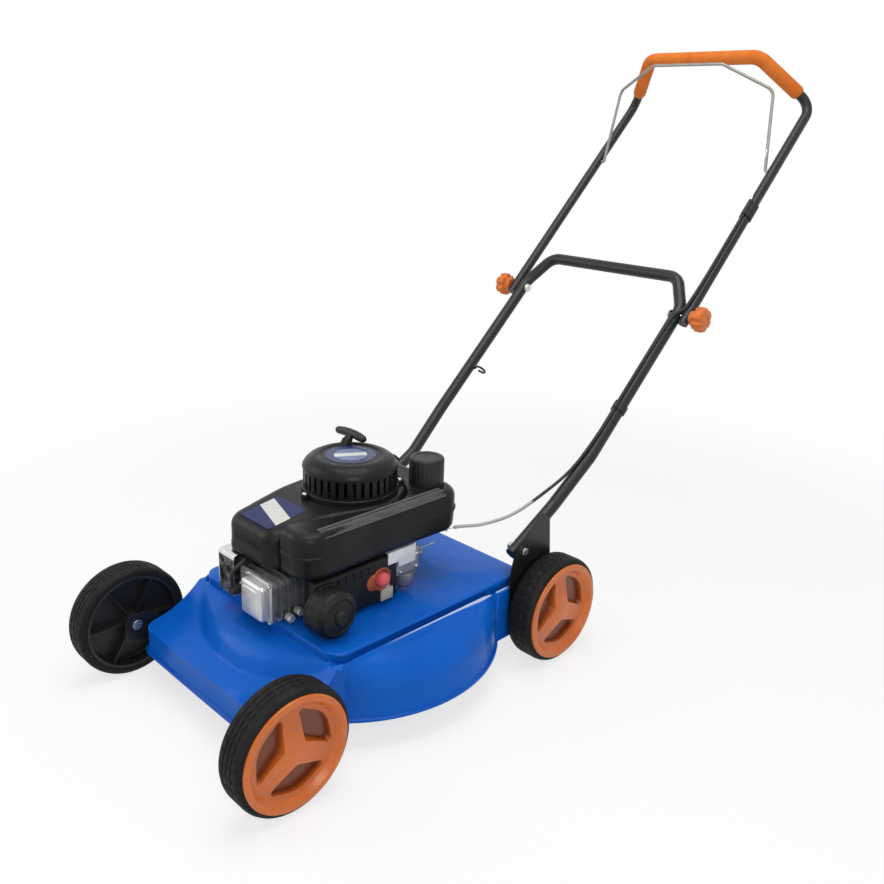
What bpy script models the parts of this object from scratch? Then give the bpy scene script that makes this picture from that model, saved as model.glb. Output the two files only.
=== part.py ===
"""Petrol lawn mower with a round pressed-steel deck, side discharge and a folding upper handle.

Stations are measured from the front axle: Y runs towards the operator, X towards the
operator's left and Z up from the ground. The whole machine hangs on one empty, which puts
the middle of its footprint over the world origin.
"""
import math

import bmesh
import bpy
from mathutils import Matrix, Vector

# Running clearances and sheet gauges, in metres
FIT_GAP = 0.0003
RUNNING_GAP = 0.0008
DECK_WALL = 0.0025
HOUSING_WALL = 0.0022
PLATE_GAUGE = 0.003

# Facets of round pieces
WHEEL_SEGMENTS = 20
SMALL_SEGMENTS = 10
BOLT_SEGMENTS = 8
TUBE_SIDES = 8

# Deck: the bowl sets the boxed ends, and the rear axle lies under the rear edge
CRANK_Y = 0.284
CRANK_HOLE_RADIUS = 0.028
SKIRT_RADIUS = 0.241
SKIRT_BOTTOM_Z = 0.047
SKIRT_TOP_Z = 0.083
SHOULDER_WIDTH = 0.082
LIP_WIDTH = 0.005
FRONT_BOX_LENGTH = 0.037
REAR_BOX_LENGTH = 0.021
SHELL_HALF_WIDTH = 0.180
SHELL_FRONT_Y = CRANK_Y - SKIRT_RADIUS - FRONT_BOX_LENGTH
SHELL_REAR_Y = CRANK_Y + SKIRT_RADIUS + REAR_BOX_LENGTH
SHELL_CORNER = 0.026
FRONT_SHELF_Z = 0.090
REAR_SHELF_Z = 0.132
PANEL_Z = 0.150
PANEL_STEP = 0.014
PANEL_CORNER = 0.030
PANEL_FRONT_REACH = 0.172
PANEL_REAR_REACH = 0.228
SIDE_SHELF = 0.008
PANEL_HALF_WIDTH = SHELL_HALF_WIDTH - SIDE_SHELF
PANEL_FRONT_Y = CRANK_Y - PANEL_FRONT_REACH
PANEL_REAR_Y = CRANK_Y + PANEL_REAR_REACH
STEP_LEAN = 0.004
CHUTE_FLAT = 0.011
CHUTE_WALL_X = SKIRT_RADIUS - CHUTE_FLAT
CHUTE_HALF_LENGTH = 0.070
CHUTE_TOP_Z = 0.104
DOOR_HALF_LENGTH = CHUTE_HALF_LENGTH + 0.006
DOOR_HINGE_Z = 0.1125
DOOR_KNUCKLE_RADIUS = 0.0045
DOOR_HINGE_X = CHUTE_WALL_X + FIT_GAP + DOOR_KNUCKLE_RADIUS
DOOR_ROD_RADIUS = 0.0022
EAR_ROOT = 0.026

# Wheels, axles and their brackets, which stand off the deck's side wall
BRACKET_STAND_OFF = 0.0038
BRACKET_X = SHELL_HALF_WIDTH + BRACKET_STAND_OFF
WHEELBASE = SHELL_REAR_Y
WHEEL_STAND_OFF = 0.0346
WHEEL_CENTRE_X = BRACKET_X + WHEEL_STAND_OFF
WHEEL_RADIUS = 0.090
WHEEL_WIDTH = 0.050
RIM_RADIUS = 0.0775
RIM_WALL = 0.0055
COVER_RADIUS = 0.0815
COVER_LIP = 0.0032
COVER_DISH = 0.0075
POCKET_REACH = 0.0630
POCKET_APEX = 0.0270
AXLE_RADIUS = 0.0062
AXLE_NECK_RADIUS = 0.0050
AXLE_HEAD_RADIUS = 0.0105
HUB_BOSS_RADIUS = 0.0135
FRONT_PAD_Y = 0.030
PAD_LENGTH = 0.022
REAR_PAD_SETBACK = 0.074
REAR_PAD_LENGTH = 0.040
HANDLE_BOLT_SETBACK = 0.049
HANDLE_BOLT_Y = SHELL_REAR_Y - HANDLE_BOLT_SETBACK
HANDLE_BOLT_Z = 0.196
HANDLE_BOLT_RADIUS = 0.0040

# Handle: its stations follow the bolt that holds it, and the folding half follows the knobs
LOWER_TUBE_RADIUS = 0.0110
UPPER_TUBE_RADIUS = 0.0095
TUBE_INSET = 0.0023
LOWER_TUBE_X = BRACKET_X - TUBE_INSET
UPPER_TUBE_X = LOWER_TUBE_X + LOWER_TUBE_RADIUS + UPPER_TUBE_RADIUS + 0.0005
LOWER_BEND_Y = HANDLE_BOLT_Y + 0.171
LOWER_BEND_Z = HANDLE_BOLT_Z + 0.123
KNOB_Y = HANDLE_BOLT_Y + 0.403
KNOB_Z = HANDLE_BOLT_Z + 0.342
KNOB_RADIUS = 0.0225
KNOB_DEPTH = 0.030
KNOB_BOLT_RADIUS = 0.0040
CROSSBAR_INSET = 0.0345
CROSSBAR_X = LOWER_TUBE_X - CROSSBAR_INSET
CROSSBAR_Y = KNOB_Y + 0.050
CROSSBAR_Z = KNOB_Z + 0.060
UPPER_BEND_Y = KNOB_Y + 0.383
UPPER_BEND_Z = KNOB_Z + 0.3725
LOOP_INSET = 0.0805
LOOP_X = UPPER_TUBE_X - LOOP_INSET
LOOP_Y = UPPER_BEND_Y - 0.081
LOOP_Z = UPPER_BEND_Z + 0.0875
GRIP_RADIUS = 0.0135
BAIL_PIVOT_Y = KNOB_Y + 0.257
BAIL_ROD_RADIUS = 0.0030
BAIL_LEG_X = UPPER_TUBE_X - 0.0155
BAIL_SHOULDER_X = UPPER_TUBE_X - 0.0305
BAIL_SHOULDER_Y = LOOP_Y - 0.024
BAIL_SHOULDER_Z = LOOP_Z - 0.062
BAIL_BAR_X = LOOP_X - 0.045
BAIL_BAR_Y = LOOP_Y - 0.056
BAIL_BAR_Z = LOOP_Z - 0.015
GUIDE_Y = LOWER_BEND_Y + 0.077
CABLE_RADIUS = 0.0028
CABLE_STOP_Y = KNOB_Y + 0.195

# Engine: heights from the panel that it stands on, stations from the crank
ENGINE_BASE_Z = PANEL_Z
CRANKCASE_RADIUS = 0.062
CRANKCASE_TOP_Z = ENGINE_BASE_Z + 0.0843
SHAFT_RADIUS = 0.0125
SHAFT_NECK_RADIUS = 0.0100
HOOD_BOTTOM_Z = ENGINE_BASE_Z + 0.088
HOOD_HEIGHT = 0.068
HOOD_TOP_Z = HOOD_BOTTOM_Z + HOOD_HEIGHT
HOOD_RADIUS = 0.088
HOOD_FRONT_Y = CRANK_Y - 0.184
HOOD_LEFT_X = 0.045
HOOD_RIGHT_X = 0.076
HOOD_CORNER = 0.026
HOOD_SLOPE = 0.15
HOOD_SLOPE_START_Y = CRANK_Y - 0.079
STARTER_RADIUS = 0.0745
STARTER_HEIGHT = 0.057
STARTER_TOP_Z = HOOD_TOP_Z + STARTER_HEIGHT
STARTER_SLOTS = 24
REEL_RADIUS = 0.038
REEL_FLANGE_RADIUS = 0.046
PULL_AT = (-0.045, CRANK_Y + 0.028, STARTER_TOP_Z - 0.0005)
PULL_ANGLE = math.radians(52)
GRIP_BAR_LENGTH = 0.070
FLYWHEEL_RADIUS = 0.074
FLYWHEEL_Z = ENGINE_BASE_Z + 0.095
FLYWHEEL_RIM = 0.014
VANE_LENGTH = 0.021
VANE_TOP = 0.034
TANK_CLEARANCE = 0.0020
TANK_BOTTOM_Z = ENGINE_BASE_Z + 0.0865
TANK_TOP_Z = HOOD_TOP_Z
TANK_LEFT_X = 0.113
TANK_REAR_Y = CRANK_Y + 0.142
TANK_FRONT_Y = CRANK_Y - 0.176
TANK_CORNER = 0.034
TANK_NECK_HEIGHT = 0.020
CAP_X = 0.060
CAP_Y = CRANK_Y + 0.109
CAP_RADIUS = 0.0285
CAP_WALL = 0.0045
CAP_TOP_Z = TANK_TOP_Z + 0.044
CYLINDER_LEFT_X = 0.0500
CYLINDER_RIGHT_X = -0.034
CYLINDER_TOP_Z = ENGINE_BASE_Z + 0.0705
CYLINDER_BOTTOM_Z = ENGINE_BASE_Z + 0.0015
CYLINDER_FRONT_Y = CRANK_Y - 0.1855
CYLINDER_REAR_Y = CRANK_Y - 0.0870
FIN_COUNT = 8
FIN_GAUGE = 0.0022
FIN_DEPTH = 0.0085
PLUG_X = -0.0235
PLUG_Z = ENGINE_BASE_Z + 0.038
COVER_PLATE_RIGHT_X = -0.0125
LEVER_ANGLE = math.radians(48)
LEVER_PLATE_Z = ENGINE_BASE_Z + 0.0805
LEVER_PIN_RADIUS = 0.0030
LEVER_GAUGE = 0.0022
CABLE_EYE_AT = (0.099, CRANK_Y + 0.121)
CARB_BOTTOM_Z = ENGINE_BASE_Z + 0.034
CARB_TOP_Z = ENGINE_BASE_Z + 0.076
CARB_INNER_X = 0.0680
CARB_FRONT_Y = CRANK_Y + 0.008
INTAKE_BOTTOM_Z = ENGINE_BASE_Z + 0.008
INTAKE_TOP_Z = ENGINE_BASE_Z + 0.080
INTAKE_OUTER_X = 0.1060
INTAKE_FRONT_Y = CRANK_Y - 0.152
PRIMER_Y = CRANK_Y - 0.027
PRIMER_Z = ENGINE_BASE_Z + 0.047
PRIMER_RADIUS = 0.0120
FILTER_Y = CRANK_Y - 0.137
FILTER_Z = ENGINE_BASE_Z + 0.0385
FILTER_RADIUS = 0.0370
FILTER_DEPTH = 0.046
MUFFLER_BOTTOM_Z = ENGINE_BASE_Z + 0.022
MUFFLER_TOP_Z = ENGINE_BASE_Z + 0.080
MUFFLER_RIGHT_X = -0.0780
FILLER_AT = (-0.078, CRANK_Y + 0.028, ENGINE_BASE_Z + 0.054)
FILLER_LEAN = math.radians(37)
FILLER_TOP = 0.036

# Blade
BLADE_Z = 0.060
BLADE_TIP_GAP = 0.013
BLADE_LENGTH = 2 * (SKIRT_RADIUS - BLADE_TIP_GAP)
BLADE_WIDTH = 0.050
BLADE_GAUGE = 0.0035
BLADE_BOLT_RADIUS = 0.0048

SMOOTH_ANGLE = math.radians(32)
LEFT = 1
RIGHT = -1
SIDES = {"left": LEFT, "right": RIGHT}


# Scene and material helpers

def clear_scene():
    for item in list(bpy.data.objects):
        bpy.data.objects.remove(item, do_unlink=True)


def finish(name, colour, roughness, metallic=0.0):
    """A painted, moulded or bare-metal finish."""
    material = bpy.data.materials.new(name)
    material.use_nodes = True
    shader = material.node_tree.nodes["Principled BSDF"]
    shader.inputs["Base Color"].default_value = (*colour, 1.0)
    shader.inputs["Roughness"].default_value = roughness
    shader.inputs["Metallic"].default_value = metallic
    material.diffuse_color = (*colour, 1.0)
    return material


def station(item):
    """Where an object's origin stands, measured from the front axle."""
    if item.parent is None:
        return Vector((0, 0, 0))
    return station(item.parent) + item.location


def empty_at(name, pivot, parent):
    """An empty on a joint's axis, or the one that carries the whole machine."""
    item = bpy.data.objects.new(name, None)
    bpy.context.scene.collection.objects.link(item)
    item.parent = parent
    if parent is not None:
        item.location = Vector(pivot) - station(parent)
    return item


def place(name, bm, material, parent):
    """Turns a bmesh drawn at its own station into an object with its parent's origin."""
    bmesh.ops.translate(bm, verts=bm.verts, vec=-station(parent))
    mesh = bpy.data.meshes.new(name)
    bm.to_mesh(mesh)
    bm.free()
    mesh.shade_smooth()
    mesh.set_sharp_from_angle(angle=SMOOTH_ANGLE)
    mesh.materials.append(material)
    item = bpy.data.objects.new(name, mesh)
    bpy.context.scene.collection.objects.link(item)
    item.parent = parent
    return item


def combine(item, bm, operation):
    """Cuts or joins an object with a hidden tool drawn at its own station."""
    bmesh.ops.translate(bm, verts=bm.verts, vec=-station(item.parent))
    mesh = bpy.data.meshes.new(item.name + "_tool")
    bm.to_mesh(mesh)
    bm.free()
    tool = bpy.data.objects.new(item.name + "_tool", mesh)
    bpy.context.scene.collection.objects.link(tool)
    tool.parent = item.parent
    tool.hide_render = True
    tool.display_type = "WIRE"
    step = item.modifiers.new(operation.lower(), "BOOLEAN")
    step.operation = operation
    step.solver = "EXACT"
    step.object = tool


def cut(item, bm):
    combine(item, bm, "DIFFERENCE")


def join(item, bm):
    combine(item, bm, "UNION")


# Shape helpers

def merged(bm):
    bmesh.ops.remove_doubles(bm, verts=bm.verts, dist=1e-6)
    bmesh.ops.recalc_face_normals(bm, faces=bm.faces)
    return bm


def box(x, y, z, bevel=0.0, segments=1):
    """A block from three (low, high) pairs, with rounded edges where a bevel is given."""
    bm = bmesh.new()
    bmesh.ops.create_cube(bm, size=1.0)
    size = Vector((x[1] - x[0], y[1] - y[0], z[1] - z[0]))
    middle = Vector((x[0] + x[1], y[0] + y[1], z[0] + z[1])) / 2
    bmesh.ops.scale(bm, vec=size, verts=bm.verts)
    bmesh.ops.translate(bm, vec=middle, verts=bm.verts)
    if bevel:
        bmesh.ops.bevel(bm, geom=bm.edges[:], offset=bevel, segments=segments,
                        profile=0.5, affect="EDGES", material=-1)
    return bm


def turned(profile, segments, centre=(0.0, 0.0, 0.0), axis="Z", phase=0.0):
    """Turns a closed outline of (radius, height) points into a solid of revolution."""
    bm = bmesh.new()
    ring = [bm.verts.new((radius, 0.0, height)) for radius, height in profile]
    edges = [bm.edges.new((ring[i - 1], ring[i])) for i in range(len(ring))]
    bmesh.ops.spin(bm, geom=ring + edges, cent=(0, 0, 0), axis=(0, 0, 1),
                   angle=2 * math.pi, steps=segments, use_merge=True)
    merged(bm)
    bm.transform(Matrix.Rotation(phase, 4, "Z"))
    if axis == "X":
        bm.transform(Matrix.Rotation(math.pi / 2, 4, "Y"))
    if axis == "Y":
        bm.transform(Matrix.Rotation(-math.pi / 2, 4, "X"))
    bmesh.ops.translate(bm, vec=centre, verts=bm.verts)
    return bm


def rod(radius, low, high, segments, centre=(0.0, 0.0, 0.0), axis="Z"):
    """A plain round bar between two heights on the axis."""
    return turned([(0, low), (radius, low), (radius, high), (0, high)], segments, centre, axis)


def rings_to_mesh(rings, closed=False, caps=True):
    """Skins a list of equal rings, capping both ends or joining the last ring to the first."""
    bm = bmesh.new()
    rows = [[bm.verts.new(point) for point in ring] for ring in rings]
    pairs = list(zip(rows, rows[1:]))
    if closed:
        pairs.append((rows[-1], rows[0]))
    count = len(rows[0])
    for lower, upper in pairs:
        for i in range(count):
            j = (i + 1) % count
            bm.faces.new((lower[i], lower[j], upper[j], upper[i]))
    if caps and not closed:
        bm.faces.new(list(reversed(rows[0])))
        bm.faces.new(rows[-1])
    return merged(bm)


def prism(outline, low, high, axis="Z"):
    """Extrudes a closed outline of two coordinates along the remaining axis."""
    place_point = {
        "X": lambda a, b, h: (h, a, b),
        "Y": lambda a, b, h: (a, h, b),
        "Z": lambda a, b, h: (a, b, h),
    }[axis]
    return rings_to_mesh([[place_point(a, b, h) for a, b in outline] for h in (low, high)])


def rounded_outline(corners, radii, steps=3):
    """A closed plan outline whose corners are rounded by tangent arcs."""
    count = len(corners)
    points = []
    for i in range(count):
        before = Vector(corners[i - 1])
        here = Vector(corners[i])
        after = Vector(corners[(i + 1) % count])
        points += fillet(before, here, after, radii[i], steps)
    return [tuple(point) for point in points]


def fillet(before, here, after, radius, steps):
    """Points of the arc that rounds one corner, in two or three dimensions."""
    back = (before - here).normalized()
    ahead = (after - here).normalized()
    half = back.angle(ahead) / 2
    reach = radius / math.tan(half)
    centre = here + (back + ahead).normalized() * (radius / math.sin(half))
    start = here + back * reach - centre
    end = here + ahead * reach - centre
    sweep = start.angle(end)
    points = []
    for i in range(steps + 1):
        share = i / steps
        weight_start = math.sin((1 - share) * sweep) / math.sin(sweep)
        weight_end = math.sin(share * sweep) / math.sin(sweep)
        points.append(centre + start * weight_start + end * weight_end)
    return points


def bent_path(corners, bend_radii, steps=5):
    """A tube's centre line: straight runs joined by bends of a given radius."""
    corners = [Vector(corner) for corner in corners]
    points = [corners[0]]
    for i in range(1, len(corners) - 1):
        points += fillet(corners[i - 1], corners[i], corners[i + 1], bend_radii[i - 1], steps)
    points.append(corners[-1])
    return points


def tube(points, radius, sides=TUBE_SIDES, bore=0.0):
    """A round bar or sleeve along a centre line, without twist."""
    points = [Vector(point) for point in points]
    tangents = []
    for i, point in enumerate(points):
        ahead = points[min(i + 1, len(points) - 1)]
        behind = points[max(i - 1, 0)]
        tangents.append((ahead - behind).normalized())
    normal = tangents[0].orthogonal().normalized()
    outer = []
    inner = []
    for point, tangent in zip(points, tangents):
        normal = (normal - tangent * normal.dot(tangent)).normalized()
        across = tangent.cross(normal)
        wheel = [normal * math.cos(a) + across * math.sin(a)
                 for a in (2 * math.pi * k / sides for k in range(sides))]
        outer.append([point + spoke * radius for spoke in wheel])
        inner.append([point + spoke * bore for spoke in wheel])
    if bore:
        return rings_to_mesh(outer + inner[::-1], closed=True)
    return rings_to_mesh(outer)


def hull_ring(circles, count, height_of):
    """Points where a belt round several circles touches them, one for each direction."""
    ring = []
    for k in range(count):
        angle = 2 * math.pi * k / count
        out = Vector((math.cos(angle), math.sin(angle)))
        x, y, radius = max(circles, key=lambda c: c[0] * out.x + c[1] * out.y + c[2])
        px = x + radius * out.x
        py = y + radius * out.y
        ring.append((px, py, height_of(px, py)))
    return ring


def mirrored_path(half):
    """A symmetric path from its left half, which ends short of the middle."""
    return list(half) + [Vector((-p[0], p[1], p[2])) for p in reversed(half)]


# Deck

def reach_rectangle(dx, dy, half_width, front, rear, corner):
    """Distance from the crank axis to a rounded rectangle, along a direction in plan."""
    edge_y = (rear if dy > 0 else front) - CRANK_Y
    by_side = half_width / abs(dx) if abs(dx) > 1e-9 else math.inf
    by_end = edge_y / dy if abs(dy) > 1e-9 else math.inf
    straight = min(by_side, by_end)
    centre_x = math.copysign(half_width - corner, dx)
    centre_y = edge_y - math.copysign(corner, dy)
    along = dx * centre_x + dy * centre_y
    across = dx * centre_y - dy * centre_x
    if abs(across) >= corner:
        return straight
    on_arc = along + math.sqrt(corner ** 2 - across ** 2)
    past_side = abs(dx * on_arc) > half_width - corner
    past_end = abs(dy * on_arc) > abs(centre_y)
    return on_arc if past_side and past_end else straight


def panel_reach(dx, dy, inset=0.0):
    return reach_rectangle(dx, dy, PANEL_HALF_WIDTH - inset, PANEL_FRONT_Y + inset,
                           PANEL_REAR_Y - inset, PANEL_CORNER)


def skirt_reach(dx, dy, inset=0.0):
    """The skirt is a circle that runs out into the front and rear boxes, cut flat at the chute."""
    circle = SKIRT_RADIUS - inset
    if dx < 0:
        circle = min(circle, (CHUTE_WALL_X - inset) / -dx)
    ends = reach_rectangle(dx, dy, SHELL_HALF_WIDTH - inset, SHELL_FRONT_Y + inset,
                           SHELL_REAR_Y - inset, SHELL_CORNER)
    return max(circle, ends)


def shelf_height(y):
    """The front and rear of the deck rise gently from their edges to the panel's foot."""
    foot = PANEL_Z - PANEL_STEP
    if y < CRANK_Y:
        share = min(max((y - SHELL_FRONT_Y) / (PANEL_FRONT_Y - SHELL_FRONT_Y), 0), 1)
        return FRONT_SHELF_Z + (foot - FRONT_SHELF_Z) * share ** 2.2
    share = min(max((SHELL_REAR_Y - y) / (SHELL_REAR_Y - PANEL_REAR_Y), 0), 1)
    return REAR_SHELF_Z + (foot - REAR_SHELF_Z) * share


def bowl_height(radius, edge):
    """The round shoulder of the pressing, from the panel's foot down to the skirt."""
    inner = SKIRT_RADIUS - SHOULDER_WIDTH
    share = min(max((radius - inner) / (edge - inner), 0.0), 1.0)
    drop = PANEL_Z - PANEL_STEP - SKIRT_TOP_Z
    return SKIRT_TOP_Z + drop * math.sqrt(1 - share ** 2.4)


def blend_up(a, b, softness=0.006):
    """The higher of two surfaces, with a soft valley where they meet."""
    return 0.5 * (a + b + math.sqrt((a - b) ** 2 + softness ** 2))


def deck_height(dx, dy, radius, inset):
    circle = SKIRT_RADIUS - inset
    if dx < 0:
        circle = min(circle, (CHUTE_WALL_X - inset) / -dx)
    y = CRANK_Y + dy * radius
    ends = reach_rectangle(dx, dy, SHELL_HALF_WIDTH, SHELL_FRONT_Y, SHELL_REAR_Y, SHELL_CORNER)
    if ends < circle:
        return bowl_height(radius, circle) - inset
    return blend_up(bowl_height(radius, circle), shelf_height(y)) - 0.003 - inset


def deck_directions():
    """Directions from the crank axis, closer together round the corners."""
    corners = [(PANEL_HALF_WIDTH, PANEL_FRONT_Y), (PANEL_HALF_WIDTH, PANEL_REAR_Y),
               (SHELL_HALF_WIDTH, SHELL_FRONT_Y), (SHELL_HALF_WIDTH, SHELL_REAR_Y)]
    angles = [math.radians(12 * k) for k in range(30)]
    for x, y in corners:
        for side in (LEFT, RIGHT):
            middle = math.atan2(y - CRANK_Y, side * x) % (2 * math.pi)
            angles += [middle + math.radians(offset) for offset in (-4, 0, 4)]
    junction = math.acos(SHELL_HALF_WIDTH / SKIRT_RADIUS)
    flat_end = math.acos(CHUTE_WALL_X / SKIRT_RADIUS)
    angles += [junction, -junction, math.pi - junction, math.pi + junction]
    angles += [math.pi - flat_end, math.pi + flat_end]
    angles = sorted(angle % (2 * math.pi) for angle in angles)
    kept = [angles[0]]
    for angle in angles[1:]:
        if angle - kept[-1] > math.radians(1.5):
            kept.append(angle)
    return [(math.cos(angle), math.sin(angle)) for angle in kept]


def deck_rings(inset):
    """Rings of one face of the pressing, from the crank hole out to the lip."""
    def ring(reach, height):
        points = []
        for dx, dy in deck_directions():
            radius = reach(dx, dy)
            points.append((dx * radius, CRANK_Y + dy * radius, height(dx, dy, radius)))
        return points

    def flat(dx, dy, radius):
        return PANEL_Z - inset

    def shaped(dx, dy, radius):
        return deck_height(dx, dy, radius, inset)

    rings = [ring(lambda dx, dy: CRANK_HOLE_RADIUS, flat),
             ring(lambda dx, dy: panel_reach(dx, dy, 0.003 + inset), flat),
             ring(lambda dx, dy: panel_reach(dx, dy, inset),
                  lambda dx, dy, radius: PANEL_Z - 0.003 - inset)]
    for share in (0.0, 0.35, 0.64, 0.86, 1.0):
        def reach(dx, dy, share=share):
            foot = panel_reach(dx, dy, inset) + STEP_LEAN
            edge = skirt_reach(dx, dy, inset)
            return foot + (edge - foot) * share
        rings.append(ring(reach, shaped))
    return rings, ring


def build_deck(parent, paint):
    outer, ring = deck_rings(0.0)
    inner, inner_ring = deck_rings(DECK_WALL)
    lip_top = SKIRT_BOTTOM_Z + DECK_WALL
    outer += [
        ring(lambda dx, dy: skirt_reach(dx, dy), lambda dx, dy, r: lip_top + 0.001),
        ring(lambda dx, dy: skirt_reach(dx, dy) + LIP_WIDTH, lambda dx, dy, r: lip_top),
        ring(lambda dx, dy: skirt_reach(dx, dy) + LIP_WIDTH, lambda dx, dy, r: SKIRT_BOTTOM_Z),
    ]
    inner.append(inner_ring(lambda dx, dy: skirt_reach(dx, dy, DECK_WALL),
                            lambda dx, dy, r: SKIRT_BOTTOM_Z))
    shell = rings_to_mesh(outer + inner[::-1], closed=True)
    deck = place("deck_shell", shell, paint, parent)
    chute = box((-CHUTE_WALL_X - 0.030, -CHUTE_WALL_X + 0.050),
                (CRANK_Y - CHUTE_HALF_LENGTH, CRANK_Y + CHUTE_HALF_LENGTH),
                (SKIRT_BOTTOM_Z + 0.010, CHUTE_TOP_Z))
    cut(deck, chute)
    return deck


# Wheels

def build_wheel(name, side, y, parent, finishes):
    """Tyre, moulded rim and clipped-on spoke cover, on one shoulder bolt."""
    centre = (side * WHEEL_CENTRE_X, y, WHEEL_RADIUS)
    half = WHEEL_WIDTH / 2
    spin = empty_at("spin_" + name, centre, parent)

    half_facet = math.pi / WHEEL_SEGMENTS

    def solid(profile):
        outline = [(radius, side * along) for radius, along in profile]
        return turned(outline, WHEEL_SEGMENTS, centre, "X", half_facet)

    seat = RIM_RADIUS + FIT_GAP
    face = half - COVER_LIP - FIT_GAP
    tread = WHEEL_RADIUS / math.cos(half_facet)
    tyre = solid([(seat, -half), (tread - 0.004, -half), (tread, -half + 0.008),
                  (tread, half - 0.014), (tread - 0.006, face), (seat, face)])
    place("tyre_" + name, tyre, finishes["rubber"], spin)

    inboard = -(WHEEL_CENTRE_X - BRACKET_X - PLATE_GAUGE - RUNNING_GAP)
    outboard = 0.010
    bore = AXLE_RADIUS + 0.0001
    hub = solid([(bore, inboard), (HUB_BOSS_RADIUS, inboard), (HUB_BOSS_RADIUS + 0.002, -0.003),
                 (RIM_RADIUS - RIM_WALL, -0.003), (RIM_RADIUS - RIM_WALL, -half),
                 (RIM_RADIUS, -half), (RIM_RADIUS, face), (RIM_RADIUS - RIM_WALL, face),
                 (RIM_RADIUS - RIM_WALL - 0.002, 0.003), (HUB_BOSS_RADIUS, 0.003),
                 (HUB_BOSS_RADIUS, outboard), (bore, outboard)])
    place("rim_" + name, hub, finishes["moulding"], spin)

    dish = half - COVER_DISH
    cover = solid([(0, dish - 0.003), (POCKET_REACH + 0.002, dish - 0.003),
                   (RIM_RADIUS - RIM_WALL - 0.002, face + FIT_GAP),
                   (COVER_RADIUS, face + FIT_GAP), (COVER_RADIUS - 0.0012, half),
                   (COVER_RADIUS - 0.010, half), (POCKET_REACH + 0.001, dish + 0.001),
                   (0, dish + 0.0022)])
    shell = place("wheel_cover_" + name, cover, finishes["orange"], spin)
    for k in range(3):
        cut(shell, cover_pocket(math.radians(155 - 120 * k), centre, half))

    build_axle_bolt(name, side, y, parent, finishes["zinc"], outboard)


def cover_pocket(middle, centre, half):
    """One window between two spokes: a rim arc and two spoke edges that meet near the hub."""
    reach = math.radians(43)
    corners = [(POCKET_REACH * math.cos(a), POCKET_REACH * math.sin(a))
               for a in (middle - reach, middle, middle + reach)]
    corners.append((POCKET_APEX * math.cos(middle), POCKET_APEX * math.sin(middle)))
    outline = rounded_outline(corners, [0.006, 0.040, 0.006, 0.012], steps=1)
    window = prism(outline, -half * 1.5, half * 1.5, "X")
    bmesh.ops.translate(window, vec=centre, verts=window.verts)
    return window


def build_axle_bolt(name, side, y, parent, zinc, outboard):
    """A shoulder bolt: head outside the hub, shank through hub and plate, riveted inside."""
    def along(x):
        return side * (x - WHEEL_CENTRE_X)
    head = outboard + FIT_GAP + 0.0002
    plate_out = BRACKET_X + PLATE_GAUGE + FIT_GAP
    plate_in = BRACKET_X - FIT_GAP
    profile = [(0, along(plate_in - 0.0028)), (0.0085, along(plate_in - 0.0028)),
               (0.0085, along(plate_in)), (AXLE_NECK_RADIUS, along(plate_in)),
               (AXLE_NECK_RADIUS, along(plate_out)), (AXLE_RADIUS, along(plate_out)),
               (AXLE_RADIUS, side * head), (AXLE_HEAD_RADIUS, side * head),
               (AXLE_HEAD_RADIUS, side * (head + 0.0035)), (0, side * (head + 0.0035))]
    centre = (side * WHEEL_CENTRE_X, y, WHEEL_RADIUS)
    place("axle_bolt_" + name, turned(profile, BOLT_SEGMENTS, centre, "X"), zinc, parent)


# Brackets

def build_front_bracket(name, side, parent, steel):
    """A joggled steel plate on the deck's side wall that holds the front axle bolt."""
    corners = [(-0.022, 0.062), (0.046, 0.056), (0.060, 0.070), (0.050, 0.086),
               (0.018, 0.108), (-0.018, 0.108)]
    outline = rounded_outline(corners, [0.010, 0.008, 0.008, 0.010, 0.014, 0.014], steps=2)
    low, high = sorted((side * BRACKET_X, side * (BRACKET_X + PLATE_GAUGE)))
    plate = place("wheel_bracket_front_" + name, prism(outline, low, high, "X"), steel, parent)
    pad_low, pad_high = sorted((side * (SHELL_HALF_WIDTH + FIT_GAP), side * (BRACKET_X + 0.001)))
    join(plate, box((pad_low, pad_high), (FRONT_PAD_Y, FRONT_PAD_Y + PAD_LENGTH), (0.060, 0.078)))
    drill_axle_hole(plate, side, 0.0)


def drill_axle_hole(plate, side, y):
    centre = (side * BRACKET_X, y, WHEEL_RADIUS)
    cut(plate, rod(AXLE_NECK_RADIUS + FIT_GAP, -0.02, 0.02, SMALL_SEGMENTS, centre, "X"))


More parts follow.
